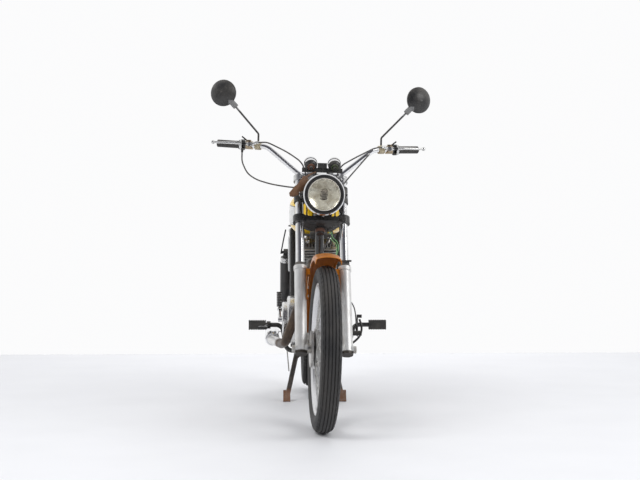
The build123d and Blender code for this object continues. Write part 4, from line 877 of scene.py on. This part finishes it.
turned("reflector", [(0.0142, 0.0645)] + arc_points(0.063, 0.0136, 0.0006, 14), 64, LAMP,
       "steering", REFLECTOR, closed=False, replaces=("headlight_lens",))
lens = arc_points(0.0630, 0.0150, 0.0215, 10)
turned("lens_glass", lens + [(x - 0.0022, r) for x, r in reversed(lens)], 64, LAMP, "steering",
       GLASS)
turned("lens_ring", [(0.0130, 0.0622), (0.0172, 0.0626), (0.0174, 0.0645), (0.0130, 0.0650)],
       72, LAMP, "steering", PALE_RING)
turned("lamp_band", [(0.0110, 0.0640), (0.0162, 0.0644), (0.0176, 0.0690), (0.0182, 0.0750),
                     (0.0172, 0.0768), (0.0150, 0.0764)], 72, LAMP, "steering", RING_BLACK)
turned("bulb_cup", [(0.0015, 0.0001), (0.0075, 0.0001), (0.0082, 0.006), (0.0070, 0.013),
                    (0.0025, 0.0150), (0.0010, 0.0150)], 32, LAMP, "steering", BULB_DARK)
clip = sweep_tube([(0.008, -0.014, 0.0), (0.0112, -0.006, 0.0), (0.0112, 0.006, 0.0),
                   (0.008, 0.014, 0.0)], 0.0022, 8)
make_piece("bulb_clip", *clip, LAMP @ Matrix.Translation((0, 0, 0.004)), "steering", BULB_DARK)
turned("bulb", [(0.006, 0.0062)] + arc_points(0.0062, 0.0078, 0.0128, 6), 24, LAMP, "steering",
       GLASS, closed=False)
for label, up in (("upper", 0.0135), ("lower", -0.0135)):
    patch = lathe([(0.0042, 0.0001), (0.0074, 0.0001), (0.0070, 0.0070), (0.0042, 0.0094)], 24)
    squash = Matrix.Translation((0.0, 0.0, up)) @ Matrix.Diagonal((1, 1.5, 0.8, 1))
    make_piece(f"bulb_shade_{label}", *placed(patch, squash), LAMP, "steering", BULB_DARK)
print("headlight pieces made")

# %% [markdown]
# ## Rim and shell trim
# The outer rim has a screw at its foot, and each ear that holds the shell has a washer.

# %% Lamp rim screw and ear washers
screw = joined(lathe(oblong(0.0, 0.014, 0.0001, 0.0034), 16), hexagon(0.005, -0.004, 0.0))
make_piece("rim_screw", *screw, LAMP @ Matrix.Translation((-0.002, 0.0, -0.0845)), "steering",
           STEEL)
for side, label in SIDES:
    place = STEER @ Matrix.Translation((side * 0.0955, -0.464, 0.918))
    turned(f"ear_washer_{label}", oblong(0.0, 0.002, 0.004, 0.0115), 24, place, "steering",
           CHROME)
print("lamp trim made")

# %% [markdown]
# ## Seat
# The seat is a long bench with a smooth top, stitched cross channels and a piped lower edge.
# Cloth pressure crowns it a little; the channels are pressed in after the simulation.

# %% Seat shape, cloth and channels
SEAT_LOW = 0.7965
SEAT_STATIONS = [
    # y, half width, top height
    (0.176, 0.074, 0.044), (0.205, 0.088, 0.052), (0.30, 0.106, 0.064), (0.45, 0.111, 0.072),
    (0.62, 0.111, 0.076), (0.690, 0.101, 0.068), (0.718, 0.086, 0.054),
]
LOOP_SIDES = 28
ROUNDNESS = 0.42  # of the loaf's section: 1 is an ellipse, nought a box
CHANNEL_Y = [0.30 + 0.045 * i for i in range(8)]
CHANNEL_HALF, CHANNEL_DEPTH = 0.016, 0.0048
CHANNEL_REACH, CHANNEL_FADE = 0.088, 0.014  # across the seat
TOP_START, TOP_FADE = 0.035, 0.02  # above the seat's foot
PIPING_UP, PIPING_OUT, REAR_Y = 0.010, 0.0035, 0.7235


def seat_mesh():
    """A closed loaf from the stations, with rounded shoulders."""
    verts = []
    for y, half, top in SEAT_STATIONS:
        for i in range(LOOP_SIDES):
            a = 2 * pi * i / LOOP_SIDES
            across, up = ((abs(part) ** ROUNDNESS) * (1 if part >= 0 else -1)
                          for part in (cos(a), sin(a)))
            verts.append((half * across, y, SEAT_LOW + 0.001 + top / 2 + (top / 2) * up))
    return verts, loft_faces(len(SEAT_STATIONS), LOOP_SIDES)


def puff(piece, voxel=0.006, pressure=4.0, frames=20, cap=0.010):
    """Inflate a closed piece a little with cloth pressure, capping how far points move."""
    remesh = piece.modifiers.new("even", "REMESH")
    remesh.mode = "VOXEL"
    remesh.voxel_size = voxel
    bake(piece)
    before = [v.co.copy() for v in piece.data.vertices]
    cloth = piece.modifiers.new("cloth", "CLOTH")
    cloth.settings.use_pressure = True
    cloth.settings.uniform_pressure_force = pressure
    cloth.settings.effector_weights.gravity = 0.0
    cloth.settings.quality = 4
    for frame_number in range(1, frames + 1):
        scene.frame_set(frame_number)
    bake(piece)
    scene.frame_set(1)
    for v, old in zip(piece.data.vertices, before):
        step = v.co - old
        if step.length > cap:
            v.co = old + step.normalized() * cap


seat = make_piece("seat_pad", *seat_mesh(), BIKE, "frame", SEAT_VINYL, replaces=("seat",))
puff(seat)
for v in seat.data.vertices:
    p = BIKE.inverted() @ v.co
    p.z = max(p.z, SEAT_LOW + 0.0005)
    top_share = min(max((p.z - SEAT_LOW - TOP_START) / TOP_FADE, 0.0), 1.0)
    side_share = min(max(1.0 - (abs(p.x) - CHANNEL_REACH) / CHANNEL_FADE, 0.0), 1.0)
    for channel in CHANNEL_Y:
        gap = abs(p.y - channel)
        if gap < CHANNEL_HALF:
            p.z -= CHANNEL_DEPTH * top_share * side_share * (1 - gap / CHANNEL_HALF) ** 2
    v.co = BIKE @ p
smooth_seat = seat.modifiers.new("smooth", "SUBSURF")
smooth_seat.levels = smooth_seat.render_levels = 1
bake(seat)
seat.data.materials.clear()
seat.data.materials.append(SEAT_VINYL)
seat.data.shade_smooth()

left_edge = [(half + PIPING_OUT, y, SEAT_LOW + PIPING_UP) for y, half, _ in SEAT_STATIONS]
left_edge.append((0.04, REAR_Y + PIPING_OUT, SEAT_LOW + PIPING_UP))
edge_line = left_edge + [(-x, y, z) for x, y, z in reversed(left_edge)]
make_piece("seat_piping", *sweep_tube(smooth_path(edge_line, 6), 0.0028, 8), BIKE, "frame",
           RUBBER)
print("seat vertices:", len(seat.data.vertices))

# %% [markdown]
# ## Mirrors and instruments
# The mirror glass faces the rider. The two instruments get dials with plain ticks, a needle,
# a bright bezel and band, and a coloured disc on the back of the cup.

# %% Mirror glass and dials
MIRROR_GLASS = Recipe("mirror_glass", (0.92, 0.93, 0.94), (0.86, 0.87, 0.88), rough=(0.01, 0.03),
                      metallic=1.0, patch_scale=3.0, bump=0.0, dust=0.03).done()
DIAL_FACE = Recipe("dial_face", (0.03, 0.03, 0.032), (0.05, 0.05, 0.05), rough=(0.3, 0.4),
                   dust=0.0, bump=0.02).done()
TICK_WHITE = Recipe("tick_white", (0.75, 0.75, 0.72), (0.68, 0.68, 0.64), rough=(0.4, 0.5),
                    dust=0.0, bump=0.02).done()
CUP_RUST = Recipe("cup_rust", (0.16, 0.065, 0.035), (0.08, 0.04, 0.03), rough=(0.5, 0.7),
                  patch_scale=90.0, bump=0.4, dust=0.1).done()
CUP_GREEN = Recipe("cup_green", (0.035, 0.055, 0.025), (0.07, 0.075, 0.04), rough=(0.4, 0.6),
                   patch_scale=90.0, bump=0.3, dust=0.1).done()
BAR_CENTRE_Y = FRONT_AXLE.y + 0.030 * cos(RAKE) + 0.791 * sin(RAKE)
BAR_CENTRE_Z = FRONT_AXLE.z - 0.030 * sin(RAKE) + 0.791 * cos(RAKE)
MIRROR_Z = BAR_CENTRE_Z + 0.128 + 0.200
DIAL_PLACE = Vector((0.0, FRONT_AXLE.y + 0.765 * sin(RAKE) - 0.067,
                     FRONT_AXLE.z + 0.765 * cos(RAKE) + 0.056))
TICK_RADIUS = 0.0215


def dial_marks():
    """Ticks round three quarters of the dial, a needle and its hub."""
    marks = []
    for i in range(21):
        a = radians(-135 + 13.5 * i)
        long, wide = (0.006, 0.0007) if i % 5 == 0 else (0.0035, 0.0004)
        along, across = Vector((sin(a), cos(a))), Vector((cos(a), -sin(a))) * wide
        near, far = along * (TICK_RADIUS - long), along * TICK_RADIUS
        marks.append(prism([near - across, near + across, far + across, far - across],
                           0.0007, 0.0009))
    needle = prism([(-0.0012, -0.004), (0.0012, -0.004), (0.0003, 0.0170), (-0.0003, 0.0170)],
                   0.0012, 0.0017)
    marks.append(placed(needle, Matrix.Rotation(radians(128.0), 4, "X")))
    marks.append(lathe(oblong(0.0007, 0.0020, 0.0001, 0.0022), 16))
    return marks


for side, label in SIDES:
    face = (STEER @ Matrix.Translation((side * 0.405, BAR_CENTRE_Y + 0.008, MIRROR_Z))
            @ Matrix.Rotation(radians(90.0 + side * 22.0), 4, "Z"))
    dial = (STEER @ Matrix.Translation(DIAL_PLACE + Vector((side * 0.048, 0.0, 0.0)))
            @ Matrix.Rotation(radians(-58.0), 4, "X") @ Matrix.Rotation(radians(-90.0), 4, "Y"))
    for kind, place, steps, material, profile in (
            ("mirror_glass", face, 64, MIRROR_GLASS, oblong(0.0004, 0.0012, 0.0001, 0.0500)),
            ("mirror_lip", face, 72, BLACK_SATIN,
             [(-0.004, 0.0510), (0.0022, 0.0510), (0.0030, 0.0525), (0.0022, 0.0542),
              (-0.006, 0.0548)]),
            ("bezel", dial, 56, CHROME,
             [(-0.008, 0.0272), (0.0010, 0.0272), (0.0022, 0.0258), (0.0016, 0.0236),
              (0.0003, 0.0232)]),
            ("dial", dial, 48, DIAL_FACE, oblong(0.0001, 0.0006, 0.0001, 0.0234)),
            ("cup_back", dial, 40, CUP_GREEN if side > 0 else CUP_RUST,
             [(-0.0400, 0.0072), (-0.0400, 0.0140), (-0.0385, 0.0152), (-0.0385, 0.0072)]),
            ("cup_band", dial, 56, CHROME, oblong(-0.0240, -0.0100, 0.0248, 0.0256))):
        turned(f"{kind}_{label}", profile, steps, place, "steering", material)
    make_piece(f"dial_marks_{label}", *joined(*dial_marks()), dial, "steering", TICK_WHITE,
               smooth=False)
print("mirrors and dials done")

# %% [markdown]
# ## Front end trim
# Small rubber, paint and leather pieces round the fork: the dust seals with one wire clip, the
# fender's painted brackets, a blank leather tag on a strap, thin wires by the head, the nut
# under the steering stem and a short loom behind the lamp.

# %% Dust seals, brackets, tag and wires
LEATHER = Recipe("brown_leather", (0.17, 0.085, 0.04), (0.11, 0.05, 0.024), rough=(0.45, 0.65),
                 patch_scale=50.0, grain_scale=620.0, bump=0.45, dust=0.15).done()
WIRE_GREEN = Recipe("wire_green", (0.34, 0.74, 0.32), (0.26, 0.60, 0.26), rough=(0.35, 0.5),
                    bump=0.05, dust=0.15).done()
# UPRIGHT stands a turned piece's own +X up along the fork.
UPRIGHT = Matrix.Rotation(radians(-90.0), 4, "Y")
LEG_X = 0.0885


def wire(name, points, radius, material, body="frame"):
    """A round wire along a smooth route, in the layout that its body is drawn in."""
    layout = STEER if body == "steering" else BIKE
    make_piece(name, *sweep_tube(smooth_path(points), radius, 10), layout, body, material)


for side, label in SIDES:
    leg = FORK @ Matrix.Translation((side * LEG_X, 0.0, 0.0)) @ UPRIGHT
    turned(f"dust_seal_{label}", [(0.3512, 0.0172), (0.3512, 0.0245), (0.3560, 0.0238),
                                  (0.3600, 0.0205), (0.3660, 0.0192), (0.3672, 0.0172)],
           48, leg, "steering", RUBBER)
    bracket = joined(prism([(-0.014, 0.205), (0.014, 0.205), (0.014, 0.335), (0.008, 0.345),
                            (-0.008, 0.345), (-0.014, 0.335)], 0.0625, 0.0652),
                     prism(oblong(-0.012, 0.009, 0.312, 0.338), 0.0502, 0.0630))
    if side < 0:
        bracket = mirrored_x(bracket)
    make_piece(f"fender_bracket_{label}", *bracket, FORK, "steering", FENDER_GOLD, smooth=False)
    for up in (0.225, 0.262):
        place = FORK @ Matrix.Translation((side * 0.0600, 0.0, up))
        make_piece(f"bracket_bolt_{label}_{int(up * 1000)}", *hexagon(0.0055, 0.0, 0.004), place,
                   "steering", STEEL)
# The left leg, the last one placed, also has a wire clip
turned("dust_clip", oblong(0.3690, 0.3770, 0.0172, 0.0196), 40, leg, "steering", BLACK_SATIN)
make_piece("dust_clip_tail", *prism([(-0.024, 0.371), (-0.016, 0.370), (-0.016, 0.374),
                                     (-0.023, 0.375)], 0.098, 0.114), FORK, "steering", BLACK_SATIN)

tag = [(-0.1345, 0.9240), (-0.1310, 0.9100), (-0.1180, 0.9070), (-0.0930, 0.9180),
       (-0.0690, 0.9380), (-0.0580, 0.9660), (-0.0610, 0.9960), (-0.0800, 0.9930),
       (-0.1000, 0.9620), (-0.1190, 0.9430)]
tag_verts, tag_faces = prism(tag, -0.4400, -0.4360)
make_piece("leather_tag", [(x, y, z) for y, x, z in tag_verts], tag_faces, STEER, "steering",
           LEATHER, bevel=0.0012)
wire("tag_strap", [(-0.068, -0.4375, 0.985), (-0.058, -0.4330, 0.996), (-0.046, -0.4220, 1.004),
                   (-0.027, -0.4060, 1.012)], 0.0040, LEATHER, "steering")

wire("head_wire", [(0.046, -0.345, 0.760), (0.040, -0.352, 0.748), (0.020, -0.350, 0.715),
                   (0.012, -0.330, 0.690)], 0.0035, CABLE_BLACK)
for index in range(2):
    inward = 0.007 * index
    wire(f"green_wire_{index}", [
        (0.050 - inward, -0.300, 0.772), (0.052 - inward, -0.302, 0.748 - inward),
        (0.0715 - inward, -0.310, 0.734 - inward), (0.0800 - inward, -0.314, 0.709),
        (0.0758 - inward, -0.312, 0.689), (0.0696, -0.298, 0.674)], 0.0013, WIRE_GREEN)
turned("stem_nut", [(-0.018, 0.0001), (-0.018, 0.0130), (-0.016, 0.0150), (-0.013, 0.0150),
                    (-0.013, 0.0195), (-0.002, 0.0205), (0.0002, 0.0205), (0.0002, 0.0001)],
       48, FORK @ Matrix.Translation((0.0, 0.055, 0.548)) @ UPRIGHT, "steering", CUP_RUST,
       closed=False)
for index in range(3):
    x = 0.030 + 0.007 * index
    wire(f"lamp_loom_{index}", [
        (x, -0.402, 0.880), (x + 0.003, -0.380, 0.862), (x + 0.002, -0.366, 0.846),
        (x - 0.004, -0.362, 0.828)], 0.0040, RING_BLACK, "steering")
print("front trim made")

# %% [markdown]
# ## Foot controls
# Ribbed black rubbers sleeve the kick pedal and the gear lever.

# %% Ribbed rubbers
def ribbed_sleeve(name, start, end, radius, ribs):
    """A turned rubber sleeve with rings, laid from one point to another."""
    start, end = Vector(start), Vector(end)
    length = (end - start).length
    pitch = length / ribs
    valley = radius - 0.0012
    profile = [(0.0, 0.001)]
    for i in range(ribs):
        profile += [(i * pitch + pitch * share, r) for share, r in
                    ((0.0, valley), (0.3, radius), (0.8, radius), (0.95, valley))]
    turn = (end - start).to_track_quat("X", "Z").to_matrix().to_4x4()
    turned(name, profile + [(length, 0.001)], 32, BIKE @ Matrix.Translation(start) @ turn,
           "frame", RUBBER, closed=False)


ribbed_sleeve("kick_rubber", (-0.162, 0.2101, 0.436), (-0.162, 0.2142, 0.5035), 0.0124, 9)
ribbed_sleeve("gear_rubber", (0.142, -0.074, 0.336), (0.1915, -0.074, 0.336), 0.0112, 7)
print("foot rubbers made")

# %% [markdown]
# ## Engine details
# The plug leans out of the left of the head under a black cap, with its lead run up to the
# backbone. Domed nuts hold the head down under a row of upper fins, and screws ring the two
# side covers. Round the engine hang a loom, the ignition coil and the brake's hook, stay and
# bracket. The rear shocks get ribbed caps and a bright ring.

# %% Plug, lead, nuts, loom, coil, shock caps and cover screws
plug = LEAN @ Matrix.Translation((0.050, -0.004, 0.196)) @ Matrix.Rotation(radians(-38.0), 4, "Y")
make_piece("plug_base", *joined(hexagon(0.0105, 0.024, 0.036),
                                lathe(oblong(0.0, 0.026, 0.001, 0.008), 24)),
           plug, "frame", STEEL)
turned("plug_cap", [(0.034, 0.001), (0.034, 0.0085), (0.040, 0.0105), (0.066, 0.0100),
                    (0.072, 0.0070), (0.078, 0.0060), (0.078, 0.001)], 28, plug, "frame", RUBBER,
       closed=False)
cap_end = BIKE.inverted() @ (plug @ Vector((0.076, 0.0, 0.0)))
wire("plug_lead", [cap_end, cap_end + Vector((0.022, 0.008, 0.018)), (0.112, -0.030, 0.788),
                   (0.070, 0.000, 0.800), (0.030, 0.020, 0.800)], 0.0036, CABLE_BLACK)
# Small black things that hang on the frame beside the engine
for name, radius, material, points in (
        ("loom_a", 0.0060, RUBBER,
         [(-0.075, -0.215, 0.800), (-0.040, -0.240, 0.775), (0.005, -0.235, 0.790),
          (0.045, -0.225, 0.770), (0.078, -0.200, 0.795)]),
        ("loom_b", 0.0055, RUBBER,
         [(-0.078, -0.205, 0.770), (-0.050, -0.225, 0.755), (-0.020, -0.215, 0.765),
          (0.030, -0.225, 0.748), (0.074, -0.205, 0.762)]),
        ("loom_c", 0.0050, RUBBER,
         [(-0.070, -0.190, 0.812), (-0.062, -0.210, 0.780), (-0.066, -0.215, 0.748),
          (-0.058, -0.200, 0.720)]),
        ("loom_d", 0.0050, RUBBER,
         [(0.060, -0.190, 0.812), (0.052, -0.212, 0.780), (0.060, -0.215, 0.752),
          (0.050, -0.200, 0.722)]),
        ("brake_hook", 0.0048, FRAME_BLACK,
         [(0.186, -0.010, 0.392), (0.197, -0.016, 0.363), (0.192, -0.020, 0.326),
          (0.171, -0.022, 0.300), (0.153, -0.020, 0.288)]),
        ("coil_bracket", 0.0060, FRAME_BLACK,
         [(-0.002, -0.262, 0.758), (-0.002, -0.276, 0.759), (-0.002, -0.290, 0.762),
          (-0.002, -0.300, 0.764)]),
        ("brake_stay", 0.0026, FRAME_BLACK,
         [(0.118, -0.004, 0.505), (0.156, -0.014, 0.466), (0.172, -0.012, 0.410),
          (0.172, -0.010, 0.330)]),
        ("side_rod", 0.0032, FRAME_BLACK,
         [(-0.130, 0.505, 0.788), (-0.140, 0.505, 0.742), (-0.147, 0.505, 0.705),
          (-0.153, 0.505, 0.672)])):
    wire(name, points, radius, material)
bracket = joined(prism([(-0.030, 0.318), (0.012, 0.318), (0.016, 0.360), (0.008, 0.412),
                        (-0.020, 0.412), (-0.030, 0.372)], 0.1745, 0.1785),
                 prism(oblong(-0.012, 0.010, 0.398, 0.412), 0.1785, 0.1960))
make_piece("brake_bracket", *bracket, BIKE, "frame", FRAME_BLACK, smooth=False)
wire("stand_rod", [(-0.1280, 0.290, 0.270), (-0.1255, 0.290, 0.225), (-0.1215, 0.290, 0.180),
                   (-0.1175, 0.290, 0.135)], 0.0028, STEEL, "centre_stand")
nut = joined(hexagon(0.0085, 0.240, 0.250),
             lathe([(0.250, 0.0078), (0.2545, 0.006), (0.2565, 0.0001)], 20, closed=False))
nuts = [placed(nut, Matrix.Translation((x, y, 0.0)) @ UPRIGHT)
        for x in (-0.044, 0.044) for y in (-0.036, 0.036)]
make_piece("head_nuts", *joined(*nuts), LEAN, "frame", STEEL)

top_fins = []
for i in range(11):
    x = -0.065 + 0.013 * i
    reach = 0.070 if abs(x) < 0.05 else 0.058
    fin = [(-reach, 0.2275), (reach, 0.2275), (reach - 0.006, 0.2425), (-reach + 0.006, 0.2425)]
    top_fins.append(prism(fin, x - 0.0014, x + 0.0014))
make_piece("head_top_fins", *joined(*top_fins), LEAN, "frame", CAST_ALLOY, smooth=False)
coil = joined(lathe([(-0.036, 0.0001), (-0.036, 0.015), (-0.030, 0.017), (0.030, 0.017),
                     (0.036, 0.015), (0.036, 0.0001)], 32, closed=False),
              lathe([(0.034, 0.0001), (0.034, 0.007), (0.052, 0.006), (0.052, 0.0001)], 20,
                    closed=False))
make_piece("coil", *coil, BIKE @ Matrix.Translation((-0.002, -0.262, 0.758)), "frame", RUBBER)

shock_foot, shock_top = Vector((0.128, 0.612, 0.362)), Vector((0.128, 0.505, 0.680))
shock_length = (shock_top - shock_foot).length
shock_turn = (shock_top - shock_foot).to_track_quat("X", "Y").to_matrix().to_4x4()
cap_profile = [(shock_length - 0.050, 0.0248)]
for i in range(5):
    low = shock_length - 0.049 + 0.005 * i
    cap_profile += [(low, 0.0252), (low + 0.001, 0.0264), (low + 0.003, 0.0264),
                    (low + 0.004, 0.0252)]
cap_profile.append((shock_length - 0.0245, 0.0248))
for side, label in SIDES:
    foot = Matrix.Translation((side * shock_foot.x, shock_foot.y, shock_foot.z))
    place = BIKE @ foot @ shock_turn
    turned(f"shock_cap_{label}", cap_profile, 48, place, "frame", POLISHED)
    turned(f"shock_ring_{label}", oblong(0.058, 0.064, 0.0278, 0.0286), 48, place, "frame",
           CHROME)


def cover_screws(name, x, centre_y, centre_z, radius, count, start):
    """A ring of screw heads on a side cover, facing away from the middle."""
    way = 1 if x > 0 else -1
    head = lathe([(-0.002, 0.0045), (0.0018, 0.0045), (0.0026, 0.0036), (0.0026, 0.0012),
                  (0.0012, 0.0001)], 18, closed=False)
    screws = []
    for i in range(count):
        a = radians(start + 360.0 * i / count)
        spot = Matrix.Translation((x, centre_y + radius * cos(a), centre_z + radius * sin(a)))
        screws.append(placed(head, spot @ Matrix.Diagonal((way, 1, 1, 1))))
    make_piece(name, *joined(*screws), BIKE, "frame", STEEL)


cover_screws("left_screws", 0.118, -0.055, 0.395, 0.076, 8, 10.0)
cover_screws("right_screws", -0.130, -0.051, 0.395, 0.086, 5, 75.0)
print("engine details made")

# %% [markdown]
# ## Chain links
# The CAD chain is a plain loop. Link plates go along both of its sides, one pitch apart: along
# the upper run, round the big sprocket, back along the lower run and round the small one.

# %% Chain links
PITCH = 0.015875
CHAIN_X = 0.070
PLATE_REACH, PLATE_RADIUS = 0.0068, 0.0038
PLATE_INSIDE, PLATE_OUTSIDE = 0.0069, (0.0078, 0.0084)  # from the chain's middle, inner and outer
PLATE_POINTS = 12
small, big = Vector((0.118, 0.400)), Vector((0.660, 0.346))
small_radius, big_radius = 0.0405, 0.101
apart = big - small
heading = atan2(apart.y, apart.x)
lean = acos((small_radius - big_radius) / apart.length)
run = sqrt(apart.length ** 2 - (big_radius - small_radius) ** 2)
big_turn, small_turn = 2 * lean, 2 * pi - 2 * lean


def on_circle(centre, radius, angle):
    return centre + Vector((cos(angle), sin(angle))) * radius


def chain_point(along):
    """A point on the chain's pitch line, at a distance from the upper run's front end."""
    for here, r, there, there_r, first, turn in (
            (small, small_radius, big, big_radius, heading + lean, big_turn),
            (big, big_radius, small, small_radius, heading - lean, small_turn)):
        if along < run:
            return on_circle(here, r, first).lerp(on_circle(there, there_r, first), along / run)
        along -= run
        if along < there_r * turn:
            return on_circle(there, there_r, first - along / there_r)
        along -= there_r * turn
    return on_circle(small, small_radius, heading + lean)


total = 2 * run + big_radius * big_turn + small_radius * small_turn
link_count = 2 * round(total / PITCH / 2)
links = []
for i in range(link_count):
    here = chain_point(total * i / link_count)
    there = chain_point(total * ((i + 0.5) / link_count % 1.0))
    ahead = (there - here).normalized()
    across = Vector((-ahead.y, ahead.x))
    outline = []
    for k in range(PLATE_POINTS):
        angle = 2 * pi * k / PLATE_POINTS
        end = PLATE_REACH if cos(angle) > 0 else -PLATE_REACH
        outline.append(here + ahead * (end + PLATE_RADIUS * cos(angle))
                       + across * PLATE_RADIUS * sin(angle))
    for side in (-1, 1):
        links.append(prism(outline, *sorted((CHAIN_X + side * PLATE_INSIDE,
                                             CHAIN_X + side * PLATE_OUTSIDE[i % 2]))))
CHAIN_STEEL = Recipe("chain_steel", (0.22, 0.20, 0.18), (0.10, 0.085, 0.07), rough=(0.3, 0.5),
                     metallic=0.9, patch_scale=60.0, dust=0.2).done()
make_piece("chain_links", *joined(*links), BIKE, "frame", CHAIN_STEEL, smooth=False)
print("chain links:", link_count, "over", round(total, 4), "m")
